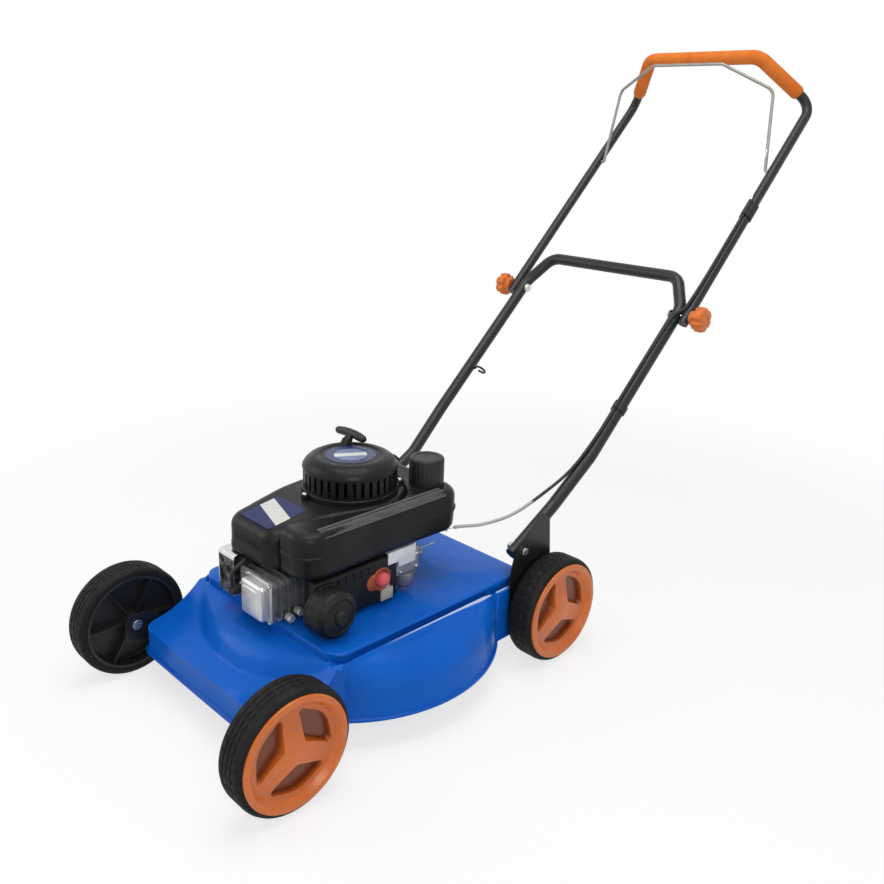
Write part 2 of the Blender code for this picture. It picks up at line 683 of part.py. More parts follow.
def build_handle_bracket(name, side, parent, steel):
    """The tall plate at each rear corner: rear axle below, handle tube above."""
    front = HANDLE_BOLT_Y - 0.031
    top = HANDLE_BOLT_Z + 0.056
    corners = [(WHEELBASE - 0.024, WHEEL_RADIUS - 0.018), (WHEELBASE + 0.022, WHEEL_RADIUS - 0.018),
               (WHEELBASE + 0.026, WHEEL_RADIUS + 0.040), (HANDLE_BOLT_Y + 0.064, top - 0.016),
               (HANDLE_BOLT_Y + 0.046, top), (HANDLE_BOLT_Y - 0.018, HANDLE_BOLT_Z + 0.010),
               (front, PANEL_Z), (front + 0.006, PANEL_Z - 0.038)]
    radii = [0.014, 0.014, 0.020, 0.008, 0.008, 0.010, 0.012, 0.010]
    outline = rounded_outline(corners, radii, steps=2)
    low, high = sorted((side * BRACKET_X, side * (BRACKET_X + PLATE_GAUGE)))
    plate = place("handle_bracket_" + name, prism(outline, low, high, "X"), steel, parent)
    pad_low, pad_high = sorted((side * (SHELL_HALF_WIDTH + FIT_GAP), side * (BRACKET_X + 0.001)))
    pad_y = SHELL_REAR_Y - REAR_PAD_SETBACK
    join(plate, box((pad_low, pad_high), (pad_y, pad_y + REAR_PAD_LENGTH), (0.092, 0.116)))
    drill_axle_hole(plate, side, WHEELBASE)
    hole = rod(HANDLE_BOLT_RADIUS + FIT_GAP, -0.02, 0.02, SMALL_SEGMENTS,
               (side * BRACKET_X, HANDLE_BOLT_Y, HANDLE_BOLT_Z), "X")
    cut(plate, hole)


def build_handle_bolt(name, side, parent, zinc):
    """Hexagon-headed bolt through the bracket and the lower handle, with its nut."""
    tube_inner = BRACKET_X - FIT_GAP - 2 * LOWER_TUBE_RADIUS
    plate_outer = BRACKET_X + PLATE_GAUGE
    centre = (0, HANDLE_BOLT_Y, HANDLE_BOLT_Z)

    def at(x):
        return side * x
    profile = [(0, at(tube_inner - 0.0055)), (0.0070, at(tube_inner - 0.0055)),
               (0.0070, at(tube_inner - FIT_GAP)), (HANDLE_BOLT_RADIUS, at(tube_inner - FIT_GAP)),
               (HANDLE_BOLT_RADIUS, at(plate_outer + FIT_GAP)), (0.0072, at(plate_outer + FIT_GAP)),
               (0.0072, at(plate_outer + 0.0045)), (0, at(plate_outer + 0.0045))]
    place("handle_bolt_" + name, turned(profile, 6, centre, "X"), zinc, parent)


# Handle

def lower_handle_path():
    """Left half: up from the bracket, out to the knob and in along the crossbar."""
    foot_x = BRACKET_X - FIT_GAP - LOWER_TUBE_RADIUS
    foot = HANDLE_BOLT_Y - 0.014, HANDLE_BOLT_Z - 0.0062
    knee = HANDLE_BOLT_Y + 0.088, HANDLE_BOLT_Z + 0.052
    return [(foot_x, *foot), (foot_x, *knee), (LOWER_TUBE_X, LOWER_BEND_Y, LOWER_BEND_Z),
            (LOWER_TUBE_X, KNOB_Y + 0.012, KNOB_Z + 0.0113), (CROSSBAR_X, CROSSBAR_Y, CROSSBAR_Z)]


def build_lower_handle(parent, steel):
    half = bent_path(lower_handle_path() + [(0.0, CROSSBAR_Y, CROSSBAR_Z)],
                     [0.06, 0.08, 0.045, 0.032], steps=3)[:-1]
    handle = place("lower_handle", tube(mirrored_path(half), LOWER_TUBE_RADIUS), steel, parent)
    for side in SIDES.values():
        cut(handle, rod(HANDLE_BOLT_RADIUS + FIT_GAP, -0.02, 0.02, 12,
                        (side * half[0].x, HANDLE_BOLT_Y, HANDLE_BOLT_Z), "X"))
        cut(handle, rod(KNOB_BOLT_RADIUS + FIT_GAP, -0.015, 0.015, 12,
                        (side * LOWER_TUBE_X, KNOB_Y, KNOB_Z), "X"))
    return handle


def upper_tube_direction():
    return Vector((0, UPPER_BEND_Y - KNOB_Y, UPPER_BEND_Z - KNOB_Z)).normalized()


def upper_handle_path():
    start = Vector((UPPER_TUBE_X, KNOB_Y, KNOB_Z)) - upper_tube_direction() * 0.016
    corners = [start, (UPPER_TUBE_X, UPPER_BEND_Y, UPPER_BEND_Z),
               (LOOP_X, LOOP_Y, LOOP_Z), (0.0, LOOP_Y, LOOP_Z)]
    return bent_path(corners, [0.030, 0.030], steps=3)[:-1]


def bail_pivot_z():
    along = upper_tube_direction()
    return KNOB_Z + (BAIL_PIVOT_Y - KNOB_Y) * along.z / along.y


def build_knob(name, side, frame, orange):
    """A lobed clamp knob on the outside of the upper tube, moulded round its nut."""
    inner = UPPER_TUBE_X + UPPER_TUBE_RADIUS + FIT_GAP
    outer = inner + KNOB_DEPTH
    tip = knob_bolt_tip() + RUNNING_GAP
    centre = (0, KNOB_Y, KNOB_Z)
    profile = [(KNOB_BOLT_RADIUS + FIT_GAP, inner), (0.013, inner), (0.014, inner + 0.008),
               (KNOB_RADIUS, inner + 0.012), (KNOB_RADIUS, outer - 0.005),
               (KNOB_RADIUS - 0.005, outer), (0, outer), (0, tip),
               (KNOB_BOLT_RADIUS + FIT_GAP, tip)]
    outline = [(radius, side * along) for radius, along in profile]
    hinge = empty_at("turn_knob_" + name, (side * inner, KNOB_Y, KNOB_Z), frame)
    knob = place("knob_" + name, turned(outline, 15, centre, "X"), orange, hinge)
    for k in range(6):
        angle = 2 * math.pi * k / 6
        groove = (0, KNOB_Y + 0.0275 * math.cos(angle), KNOB_Z + 0.0275 * math.sin(angle))
        low, high = sorted((side * (inner + 0.009), side * (outer + 0.005)))
        cut(knob, rod(0.0085, low, high, 6, groove, "X"))


def knob_bolt_tip():
    return UPPER_TUBE_X + UPPER_TUBE_RADIUS + 0.020


def build_knob_bolt(name, side, frame, zinc):
    """A carriage bolt from the inner side of the lower tube out into the knob."""
    seat = LOWER_TUBE_X - LOWER_TUBE_RADIUS - FIT_GAP
    profile = [(0, seat - 0.005), (0.0075, seat - 0.004), (0.009, seat),
               (KNOB_BOLT_RADIUS, seat), (KNOB_BOLT_RADIUS, knob_bolt_tip()), (0, knob_bolt_tip())]
    outline = [(radius, side * along) for radius, along in profile]
    centre = (0, KNOB_Y, KNOB_Z)
    place("knob_bolt_" + name, turned(outline, SMALL_SEGMENTS, centre, "X"), zinc, frame)


def build_upper_handle(hinge, steel):
    """The folding tube: two legs outside the lower handle and a leaning loop."""
    handle = place("upper_handle", tube(mirrored_path(upper_handle_path()), UPPER_TUBE_RADIUS),
                   steel, hinge)
    for side in SIDES.values():
        cut(handle, rod(KNOB_BOLT_RADIUS + FIT_GAP, -0.015, 0.015, SMALL_SEGMENTS,
                        (side * UPPER_TUBE_X, KNOB_Y, KNOB_Z), "X"))
        socket = (side * (UPPER_TUBE_X - UPPER_TUBE_RADIUS), BAIL_PIVOT_Y, bail_pivot_z())
        cut(handle, rod(BAIL_ROD_RADIUS + FIT_GAP, -0.006, 0.006, SMALL_SEGMENTS, socket, "X"))


def build_grip(hinge, orange):
    """A soft sleeve over the whole loop, from one bend to the other."""
    half = upper_handle_path()
    start = half[4] + (half[5] - half[4]) * 0.06
    path = mirrored_path([start] + half[5:])
    bore = (UPPER_TUBE_RADIUS + FIT_GAP) / math.cos(math.pi / TUBE_SIDES)
    sleeve = tube(path, GRIP_RADIUS, bore=bore)
    place("handle_grip", sleeve, orange, hinge)


def build_bail(hinge, steel):
    """A bent wire lever, its ends sprung into sockets in the upper tubes."""
    pivot_z = bail_pivot_z()
    pin_end = UPPER_TUBE_X - UPPER_TUBE_RADIUS + 0.0045
    corners = [(pin_end, BAIL_PIVOT_Y, pivot_z), (BAIL_LEG_X, BAIL_PIVOT_Y, pivot_z),
               (BAIL_SHOULDER_X, BAIL_SHOULDER_Y, BAIL_SHOULDER_Z),
               (BAIL_BAR_X, BAIL_BAR_Y, BAIL_BAR_Z), (0.0, BAIL_BAR_Y, BAIL_BAR_Z)]
    half = bent_path(corners, [0.005, 0.020, 0.020], steps=2)[:-1]
    place("stop_bail", tube(mirrored_path(half), BAIL_ROD_RADIUS, 6), steel, hinge)


def add_rope_guide(handle):
    """A wire eye welded to the right tube that leads the starter rope to the operator."""
    along = (GUIDE_Y - LOWER_BEND_Y) / (KNOB_Y - LOWER_BEND_Y)
    z = LOWER_BEND_Z + along * (KNOB_Z - LOWER_BEND_Z)
    tube_centre = Vector((-LOWER_TUBE_X, GUIDE_Y, z))
    out = Vector((1, 0, 0))
    eye_centre = tube_centre + out * (LOWER_TUBE_RADIUS + 0.020)
    up = Vector((0, -0.686, 0.727))
    turn = [eye_centre + (out * math.cos(a) + up * math.sin(a)) * 0.010
            for a in (math.radians(-150 + 300 * k / 9) for k in range(10))]
    foot = tube_centre + out * (LOWER_TUBE_RADIUS - 0.003) + up * 0.001
    path = [foot, foot + out * 0.009] + turn[::-1][:-1]
    join(handle, tube(path, 0.0022, 6))


# Brake cable

def smooth_route(points, spacing):
    """Evenly spaced points on a smooth curve through the route's own points."""
    points = [Vector(point) for point in points]
    padded = [points[0] * 2 - points[1]] + points + [points[-1] * 2 - points[-2]]
    fine = []
    for a, b, c, d in zip(padded, padded[1:], padded[2:], padded[3:]):
        for k in range(20):
            t = k / 20
            fine.append(0.5 * ((2 * b) + (c - a) * t + (2 * a - 5 * b + 4 * c - d) * t * t
                               + (3 * b - a - 3 * c + d) * t ** 3))
    fine.append(points[-1])
    length = sum((q - p).length for p, q in zip(fine, fine[1:]))
    count = max(2, round(length / spacing))
    route = [fine[0]]
    walked = 0.0
    for p, q in zip(fine, fine[1:]):
        walked += (q - p).length
        if walked >= length / count * len(route) - 1e-9 and len(route) < count:
            route.append(q)
    route.append(fine[-1])
    return route


def build_cable(name, route, parent, sheath):
    """A sheathed control cable along its route."""
    data = bpy.data.curves.new(name, "CURVE")
    data.dimensions = "3D"
    data.bevel_depth = CABLE_RADIUS
    data.bevel_resolution = 2
    data.use_fill_caps = True
    points = smooth_route(route, CABLE_RADIUS * 6)
    spline = data.splines.new("POLY")
    spline.points.add(len(points) - 1)
    origin = station(parent)
    for slot, point in zip(spline.points, points):
        slot.co = (*(point - origin), 1.0)
    data.materials.append(sheath)
    item = bpy.data.objects.new(name, data)
    bpy.context.scene.collection.objects.link(item)
    item.parent = parent


def beside_tube(x, y, z, direction, stand_off):
    """A point on the upper front side of a sloping tube."""
    out = Vector((0, -direction.z, direction.y)).normalized()
    return Vector((x, y, z)) + out * stand_off


def build_cables(frame, hinge, sheath):
    """From the engine's brake lever up both left tubes to the stop below the bail."""
    lower = Vector((0, KNOB_Y - LOWER_BEND_Y, KNOB_Z - LOWER_BEND_Z)).normalized()
    stand_off = LOWER_TUBE_RADIUS + CABLE_RADIUS + FIT_GAP
    run = [beside_tube(LOWER_TUBE_X + shift, LOWER_BEND_Y + share * (KNOB_Y - LOWER_BEND_Y),
                       LOWER_BEND_Z + share * (KNOB_Z - LOWER_BEND_Z), lower, stand_off)
           for share, shift in ((0.15, 0.0), (0.4, 0.0), (0.65, 0.0), (0.85, 0.002), (0.97, 0.0055))]
    eye_x, eye_y = CABLE_EYE_AT
    level = LEVER_PLATE_Z + 0.0015
    free = [(eye_x + 0.002, eye_y + 0.015, level), (eye_x + 0.007, eye_y + 0.029, level - 0.0005),
            (eye_x + 0.023, eye_y + 0.063, level - 0.0010),
            (LOWER_TUBE_X - 0.0415, LOWER_BEND_Y - 0.148, LOWER_BEND_Z - 0.079),
            (LOWER_TUBE_X - 0.0215, LOWER_BEND_Y - 0.090, LOWER_BEND_Z - 0.048),
            (LOWER_TUBE_X - 0.0075, LOWER_BEND_Y - 0.036, LOWER_BEND_Z - 0.013)]
    build_cable("brake_cable_lower", free + run, frame, sheath)
    upper = upper_tube_direction()
    stand_off = UPPER_TUBE_RADIUS + CABLE_RADIUS + FIT_GAP
    length = (Vector((0, CABLE_STOP_Y - KNOB_Y, 0)).length) / upper.y
    top = [beside_tube(UPPER_TUBE_X - shift, KNOB_Y + upper.y * length * share,
                       KNOB_Z + upper.z * length * share, upper, stand_off + lift)
           for share, shift, lift in ((0.02, 0.0050, 0.0015), (0.12, 0.0015, 0.0005), (0.35, 0, 0),
                                      (0.7, 0, 0), (1.0, 0, 0))]
    build_cable("brake_cable_upper", top, hinge, sheath)


# Discharge door

def build_chute_door(frame, finishes):
    """A sprung cover over the side discharge, hinged on a rod between two ears."""
    hinge_at = (-DOOR_HINGE_X, CRANK_Y, DOOR_HINGE_Z)
    hinge = empty_at("swing_chute_door", hinge_at, frame)
    half = DOOR_HALF_LENGTH
    inner = CHUTE_WALL_X + FIT_GAP
    door = place("discharge_door",
                 box((-inner - 0.0025, -inner), (CRANK_Y - half, CRANK_Y + half),
                     (SKIRT_BOTTOM_Z + 0.006, DOOR_HINGE_Z)), finishes["moulding"], hinge)
    knuckle = rod(DOOR_KNUCKLE_RADIUS, -half, half, SMALL_SEGMENTS, hinge_at, "Y")
    join(door, knuckle)
    for k in (-2, -1, 1, 2):
        y = CRANK_Y + k * 0.030
        join(door, box((-inner - 0.0042, -inner - 0.002), (y - 0.0015, y + 0.0015), (0.056, 0.094)))
    cut(door, box((-DOOR_HINGE_X - 0.012, -CHUTE_WALL_X + 0.002), (CRANK_Y - 0.012, CRANK_Y + 0.012),
                  (DOOR_HINGE_Z - 0.0145, DOOR_HINGE_Z + 0.010)))
    cut(door, rod(DOOR_ROD_RADIUS + FIT_GAP, -half - 0.01, half + 0.01, SMALL_SEGMENTS, hinge_at, "Y"))
    bar_half = half + 0.007
    bar = turned([(0, -bar_half), (0.0036, -bar_half), (0.0036, -bar_half + 0.0012),
                  (DOOR_ROD_RADIUS, -bar_half + 0.0012), (DOOR_ROD_RADIUS, bar_half - 0.0012),
                  (0.0036, bar_half - 0.0012), (0.0036, bar_half), (0, bar_half)],
                 SMALL_SEGMENTS, hinge_at, "Y")
    place("door_hinge_rod", bar, finishes["zinc"], frame)
    build_door_spring(hinge_at, frame, finishes["zinc"])


def add_door_ears(deck):
    """Two ears on the shoulder of the deck that carry the door's hinge rod."""
    half = DOOR_HALF_LENGTH + RUNNING_GAP * 1.5
    root = EAR_ROOT - CHUTE_WALL_X
    outline = rounded_outline([(root, 0.080), (root, 0.112), (-DOOR_HINGE_X, DOOR_HINGE_Z + 0.007),
                               (-DOOR_HINGE_X - 0.006, DOOR_HINGE_Z), (-DOOR_HINGE_X, 0.092)],
                              [0.002, 0.010, 0.004, 0.004, 0.006], steps=1)
    for side in (LEFT, RIGHT):
        low, high = sorted((CRANK_Y + side * half, CRANK_Y + side * (half + 0.0035)))
        join(deck, prism(outline, low, high, "Y"))
        hole_at = (-DOOR_HINGE_X, CRANK_Y + side * half, DOOR_HINGE_Z)
        cut(deck, rod(DOOR_ROD_RADIUS + FIT_GAP, -0.006, 0.006, SMALL_SEGMENTS, hole_at, "Y"))


def build_door_spring(hinge_at, frame, zinc):
    """A torsion spring round the middle of the rod, one leg resting on the deck."""
    turns = 4
    per_turn = 8
    pitch = 0.0034
    wire = 0.0008
    coil_radius = (DOOR_ROD_RADIUS + FIT_GAP + wire) / math.cos(math.pi / per_turn)
    start = CRANK_Y - pitch * turns / 2
    centre = Vector((hinge_at[0], 0, hinge_at[2]))
    coil = []
    for k in range(turns * per_turn + 1):
        angle = math.pi / 2 + 2 * math.pi * k / per_turn
        y = start + pitch * k / per_turn
        coil.append(centre + Vector((coil_radius * math.cos(angle), y, coil_radius * math.sin(angle))))
    knee = coil[0] + Vector((0.0045, 0.0, 0.0))
    seat_x = hinge_at[0] + 0.0105
    seat_z = bowl_height(-seat_x, CHUTE_WALL_X) + wire + FIT_GAP
    rest = Vector((seat_x, coil[0].y, seat_z))
    tail = coil[-1] + Vector((-0.006, 0.0, 0.0))
    least = min((coil[i] - coil[j]).length for i in range(len(coil))
                for j in range(i + per_turn - 1, len(coil))) - 2 * wire
    print("door spring: least gap between turns", round(least * 1000, 2), "mm")
    data = bpy.data.curves.new("door_spring", "CURVE")
    data.dimensions = "3D"
    data.bevel_depth = wire
    data.bevel_resolution = 1
    data.use_fill_caps = True
    points = [rest, knee] + coil + [tail]
    spline = data.splines.new("POLY")
    spline.points.add(len(points) - 1)
    for slot, point in zip(spline.points, points):
        slot.co = (*point, 1.0)
    data.materials.append(zinc)
    item = bpy.data.objects.new("door_spring", data)
    bpy.context.scene.collection.objects.link(item)
    item.parent = frame


# Engine

def hood_circles(back=0.0, nose=0.0):
    """The engine cover in plan, drawn in by one amount at its round back and one at its nose."""
    y = HOOD_FRONT_Y + HOOD_CORNER
    return [(0.0, CRANK_Y, HOOD_RADIUS - back), (HOOD_LEFT_X - HOOD_CORNER, y, HOOD_CORNER - nose),
            (-HOOD_RIGHT_X + HOOD_CORNER, y, HOOD_CORNER - nose)]


def hood_top(y):
    return HOOD_TOP_Z - HOOD_SLOPE * max(0.0, HOOD_SLOPE_START_Y - y)


def build_hood(frame, moulding):
    """Blower housing: one moulded shell, open below and under the starter."""
    count = 32
    opening = STARTER_RADIUS - 0.0065

    def belt(back, nose, drop_back, drop_nose):
        def height(x, y):
            share = min(max((CRANK_Y - y) / (CRANK_Y - HOOD_FRONT_Y), 0.0), 1.0)
            return hood_top(y) - drop_back - (drop_nose - drop_back) * share
        return hull_ring(hood_circles(back, nose), count, height)

    def base(inset):
        return hull_ring(hood_circles(inset, inset), count, lambda x, y: HOOD_BOTTOM_Z)

    def mouth(drop):
        return [(opening * math.cos(a), CRANK_Y + opening * math.sin(a), HOOD_TOP_Z - drop)
                for a in (2 * math.pi * k / count for k in range(count))]
    wall = HOUSING_WALL
    rings = [mouth(0.0), belt(0.0085, 0.0200, 0.0, 0.0), belt(0.0030, 0.0070, 0.0030, 0.0050),
             belt(0.0, 0.0, 0.0100, 0.0170), base(-0.0005), base(wall), belt(wall, wall, 0.0115, 0.0185),
             belt(0.0090, 0.0205, wall, wall), mouth(wall)]
    place("blower_housing", rings_to_mesh(rings, closed=True), moulding, frame)


def build_starter(frame, finishes):
    """Recoil starter: a louvred drum with the rope reel inside and the grip on top."""
    low = HOOD_TOP_Z + FIT_GAP
    wall = HOUSING_WALL
    top = STARTER_TOP_Z
    radius = STARTER_RADIUS
    profile = [(radius - wall, low), (radius + 0.002, low), (radius + 0.002, low + 0.006),
               (radius, low + 0.007), (radius, top - 0.018), (radius - 0.006, top - 0.007),
               (radius - 0.019, top), (0.050, top), (0.048, top - 0.0012), (0, top - 0.0012),
               (0, top - 0.0012 - wall), (radius - 0.020, top - wall - 0.001),
               (radius - wall - 0.006, top - 0.010), (radius - wall, top - 0.020)]
    centre = (0, CRANK_Y, 0)
    drum = place("starter_housing", turned(profile, STARTER_SLOTS, centre), finishes["moulding"], frame)
    slots = bmesh.new()
    for k in range(STARTER_SLOTS):
        turn = Matrix.Rotation(2 * math.pi * (k + 0.5) / STARTER_SLOTS, 4, "Z")
        slot = box((radius - 0.009, radius + 0.006), (-0.0027, 0.0027), (low + 0.010, top - 0.020))
        slot.transform(Matrix.Translation(centre) @ turn)
        append_mesh(slots, slot)
    cut(drum, slots)
    for angle in (63, 160, 261):
        a = math.radians(angle)
        ear = (radius + 0.006) * math.cos(a), CRANK_Y + (radius + 0.006) * math.sin(a)
        join(drum, rod(0.0065, low, low + 0.006, 10, (*ear, 0)))
    join(drum, rope_outlet())
    cut(drum, rope_bore())
    reel_hinge = empty_at("turn_reel", (0, CRANK_Y, top), frame)
    reel_top = top - 0.0012 - wall - RUNNING_GAP
    flange = REEL_FLANGE_RADIUS
    reel = turned([(0, reel_top - 0.030), (flange, reel_top - 0.030), (flange, reel_top - 0.0275),
                   (REEL_RADIUS, reel_top - 0.0265), (REEL_RADIUS, reel_top - 0.0165),
                   (flange, reel_top - 0.0155), (flange, reel_top - 0.013), (0.012, reel_top - 0.013),
                   (0.012, reel_top), (0, reel_top)], 14, centre)
    place("rope_reel", reel, finishes["moulding"], reel_hinge)


def append_mesh(target, source):
    """Copies one bmesh into another."""
    corners = [target.verts.new(vert.co) for vert in source.verts]
    source.verts.index_update()
    for face in source.faces:
        target.faces.new([corners[vert.index] for vert in face.verts])
    source.free()


def on_pull_axis(bm):
    """Turns a piece drawn round Z so that it follows the starter rope."""
    bm.transform(Matrix.Translation(PULL_AT) @ Matrix.Rotation(PULL_ANGLE - math.pi / 2, 4, "X"))
    return bm


def rope_outlet():
    return on_pull_axis(rod(0.0085, -0.012, 0.006, SMALL_SEGMENTS))


def rope_bore():
    return on_pull_axis(rod(0.0032, -0.020, 0.012, SMALL_SEGMENTS))


def build_starter_grip(frame, moulding):
    """The pull handle: a bar across the rope, parked on the outlet."""
    hinge = empty_at("pull_starter_grip", PULL_AT, frame)
    stem = on_pull_axis(turned([(0, -0.010), (0.0024, -0.010), (0.0024, 0.0063), (0.0075, 0.0063),
                                (0.0060, 0.014), (0, 0.014)], SMALL_SEGMENTS))
    grip = place("starter_grip", stem, moulding, hinge)
    half = GRIP_BAR_LENGTH / 2
    rings = []
    for share, reach, height in ((-1.0, 0.0045, 0.0150), (-0.92, 0.0065, 0.0155), (-0.55, 0.0072, 0.0172),
                                 (0.0, 0.0072, 0.0185), (0.55, 0.0072, 0.0172), (0.92, 0.0065, 0.0155),
                                 (1.0, 0.0045, 0.0150)):
        rings.append([(share * half, reach * math.cos(a), height + reach * 0.85 * math.sin(a))
                      for a in (2 * math.pi * k / 8 for k in range(8))])
    join(grip, on_pull_axis(rings_to_mesh(rings)))


def tank_section(angle):
    """One radial slice of the tank, measured from the crank axis."""
    out = Vector((math.cos(angle), math.sin(angle)))
    inner = hood_side_reach(out)
    for x, y, radius in hood_circles():
        along = x * out.x + (y - CRANK_Y) * out.y
        across = x * out.y - (y - CRANK_Y) * out.x
        grown = radius + TANK_CLEARANCE
        if abs(across) < grown:
            inner = max(inner, along + math.sqrt(grown ** 2 - across ** 2))
    outer = tank_reach(out)
    low = TANK_BOTTOM_Z
    high = TANK_TOP_Z
    seam = (low + high) / 2
    profile = [(inner, low), (inner, high), (outer - 0.017, high), (outer - 0.007, high - 0.004),
               (outer - 0.001, high - 0.014), (outer, seam + 0.004), (outer + 0.002, seam + 0.0015),
               (outer + 0.002, seam - 0.0015), (outer, seam - 0.004), (outer - 0.002, low + 0.008),
               (outer - 0.010, low)]
    return [(out.x * radius, CRANK_Y + out.y * radius, z) for radius, z in profile]


def hood_side_reach(out):
    """Where a ray leaves the straight left side of the cover, with the tank's clearance."""
    ax, ay = HOOD_LEFT_X + TANK_CLEARANCE, HOOD_FRONT_Y + HOOD_CORNER - CRANK_Y
    bx, by = HOOD_RADIUS + TANK_CLEARANCE, -0.006
    across = out.x * (by - ay) - out.y * (bx - ax)
    if abs(across) < 1e-9:
        return 0.0
    reach = (ax * (by - ay) - ay * (bx - ax)) / across
    y = out.y * reach
    return reach if ay - 0.02 <= y <= by else 0.0


def tank_reach(out):
    """The tank's outer wall in plan has rounded corners front and rear."""
    return reach_rectangle(out.x, out.y, TANK_LEFT_X, TANK_FRONT_Y, TANK_REAR_Y, TANK_CORNER)


def build_tank(frame, moulding):
    """Fuel tank: wraps the left side and the back of the blower housing."""
    degrees = [-72, -65, -57.5, -53, -42, -30, -18, -6, 8, 22, 36, 44, 50, 56, 68, 82, 96, 106]
    tank = place("fuel_tank", rings_to_mesh([tank_section(math.radians(d)) for d in degrees]),
                 moulding, frame)
    neck_top = TANK_TOP_Z + TANK_NECK_HEIGHT
    join(tank, rod(CAP_RADIUS - CAP_WALL, TANK_TOP_Z - 0.010, neck_top, 16, (CAP_X, CAP_Y, 0)))


def build_fuel_cap(frame, moulding):
    """A deep ribbed cap over the tank's neck."""
    low = TANK_TOP_Z + FIT_GAP
    neck = CAP_RADIUS - CAP_WALL + RUNNING_GAP
    ceiling = TANK_TOP_Z + TANK_NECK_HEIGHT + RUNNING_GAP
    centre = (CAP_X, CAP_Y, 0)
    hinge = empty_at("turn_fuel_cap", (CAP_X, CAP_Y, low), frame)
    profile = [(neck, low), (CAP_RADIUS, low), (CAP_RADIUS, CAP_TOP_Z - 0.004),
               (CAP_RADIUS - 0.003, CAP_TOP_Z), (0, CAP_TOP_Z), (0, ceiling), (neck, ceiling)]
    cap = place("fuel_cap", turned(profile, 18, centre), moulding, hinge)
    grooves = bmesh.new()
    for k in range(8):
        a = 2 * math.pi * (k + 0.5) / 8
        x, y = CAP_X + CAP_RADIUS * math.cos(a), CAP_Y + CAP_RADIUS * math.sin(a)
        append_mesh(grooves, rod(0.0028, low + 0.004, CAP_TOP_Z + 0.004, 5, (x, y, 0)))
    cut(cap, grooves)


def build_crankcase(frame, alloy):
    """Cast crankcase: sump flange on the deck, body, three housing posts and the oil filler."""
    low = ENGINE_BASE_Z + FIT_GAP
    top = CRANKCASE_TOP_Z
    bore = SHAFT_RADIUS + FIT_GAP
    radius = CRANKCASE_RADIUS
    profile = [(bore, low), (0.086, low), (0.086, low + 0.008), (radius + 0.004, low + 0.009),
               (radius, low + 0.020), (radius, top - 0.016), (radius - 0.014, top - 0.004),
               (0.026, top), (bore, top)]
    case = place("crankcase", turned(profile, 20, (0, CRANK_Y, 0)), alloy, frame)
    join(case, box((CYLINDER_RIGHT_X + 0.004, CYLINDER_LEFT_X - 0.004),
                   (CYLINDER_REAR_Y + FIT_GAP, CRANK_Y - 0.04),
                   (CYLINDER_BOTTOM_Z + 0.002, CYLINDER_TOP_Z - 0.004)))
    join(case, box((0.040, CARB_INNER_X - FIT_GAP), (CARB_FRONT_Y + 0.006, CARB_FRONT_Y + 0.044),
                   (CARB_BOTTOM_Z - 0.012, CARB_TOP_Z - 0.010)))
    for angle in (-22, 90, 200):
        a = math.radians(angle)
        reach = HOOD_RADIUS - HOUSING_WALL / 2 - 0.003
        post = (reach * math.cos(a), CRANK_Y + reach * math.sin(a), 0)
        join(case, rod(0.0050, low + 0.004, HOOD_BOTTOM_Z - FIT_GAP, 8, post))
    join(case, on_filler_axis(rod(0.0115, -0.050, FILLER_TOP, SMALL_SEGMENTS)))
    cut(case, on_filler_axis(rod(0.0085, -0.030, FILLER_TOP + 0.02, SMALL_SEGMENTS)))
    lever_pin = lever_pivot()
    arm = box((-0.030, 0.008), (-0.008, 0.008), (LEVER_PLATE_Z - 0.0165, LEVER_PLATE_Z))
    arm.transform(Matrix.Translation((lever_pin.x, lever_pin.y, 0))
                  @ Matrix.Rotation(LEVER_ANGLE, 4, "Z"))
    join(case, arm)
    join(case, rod(LEVER_PIN_RADIUS, LEVER_PLATE_Z - 0.0055, LEVER_PLATE_Z + 0.0055, SMALL_SEGMENTS,
                   (lever_pin.x, lever_pin.y, 0)))


def on_filler_axis(bm):
    """Turns a piece drawn round Z so that it follows the slanting oil filler."""
    bm.transform(Matrix.Translation(FILLER_AT) @ Matrix.Rotation(-FILLER_LEAN, 4, "Y"))
    return bm


def build_dipstick(frame, finishes):
    """Oil dipstick with a gripped cap, screwed into the filler on the right."""
    hinge = empty_at("turn_dipstick", FILLER_AT, frame)
    low = FILLER_TOP + FIT_GAP
    profile = [(0, FILLER_TOP - 0.055), (0.0025, FILLER_TOP - 0.055), (0.0025, low - 0.008),
               (0.0080, low - 0.008), (0.0080, low), (0.0135, low), (0.0135, low + 0.009),
               (0.0115, low + 0.012), (0, low + 0.012)]
    stick = place("oil_dipstick", on_filler_axis(turned(profile, SMALL_SEGMENTS)),
                  finishes["moulding"], hinge)
    join(stick, on_filler_axis(box((-0.010, 0.010), (-0.0025, 0.0025), (low + 0.010, low + 0.021))))


def lever_pivot():
    reach = FLYWHEEL_RADIUS + 0.006
    return Vector((reach * math.cos(LEVER_ANGLE), CRANK_Y + reach * math.sin(LEVER_ANGLE), 0))


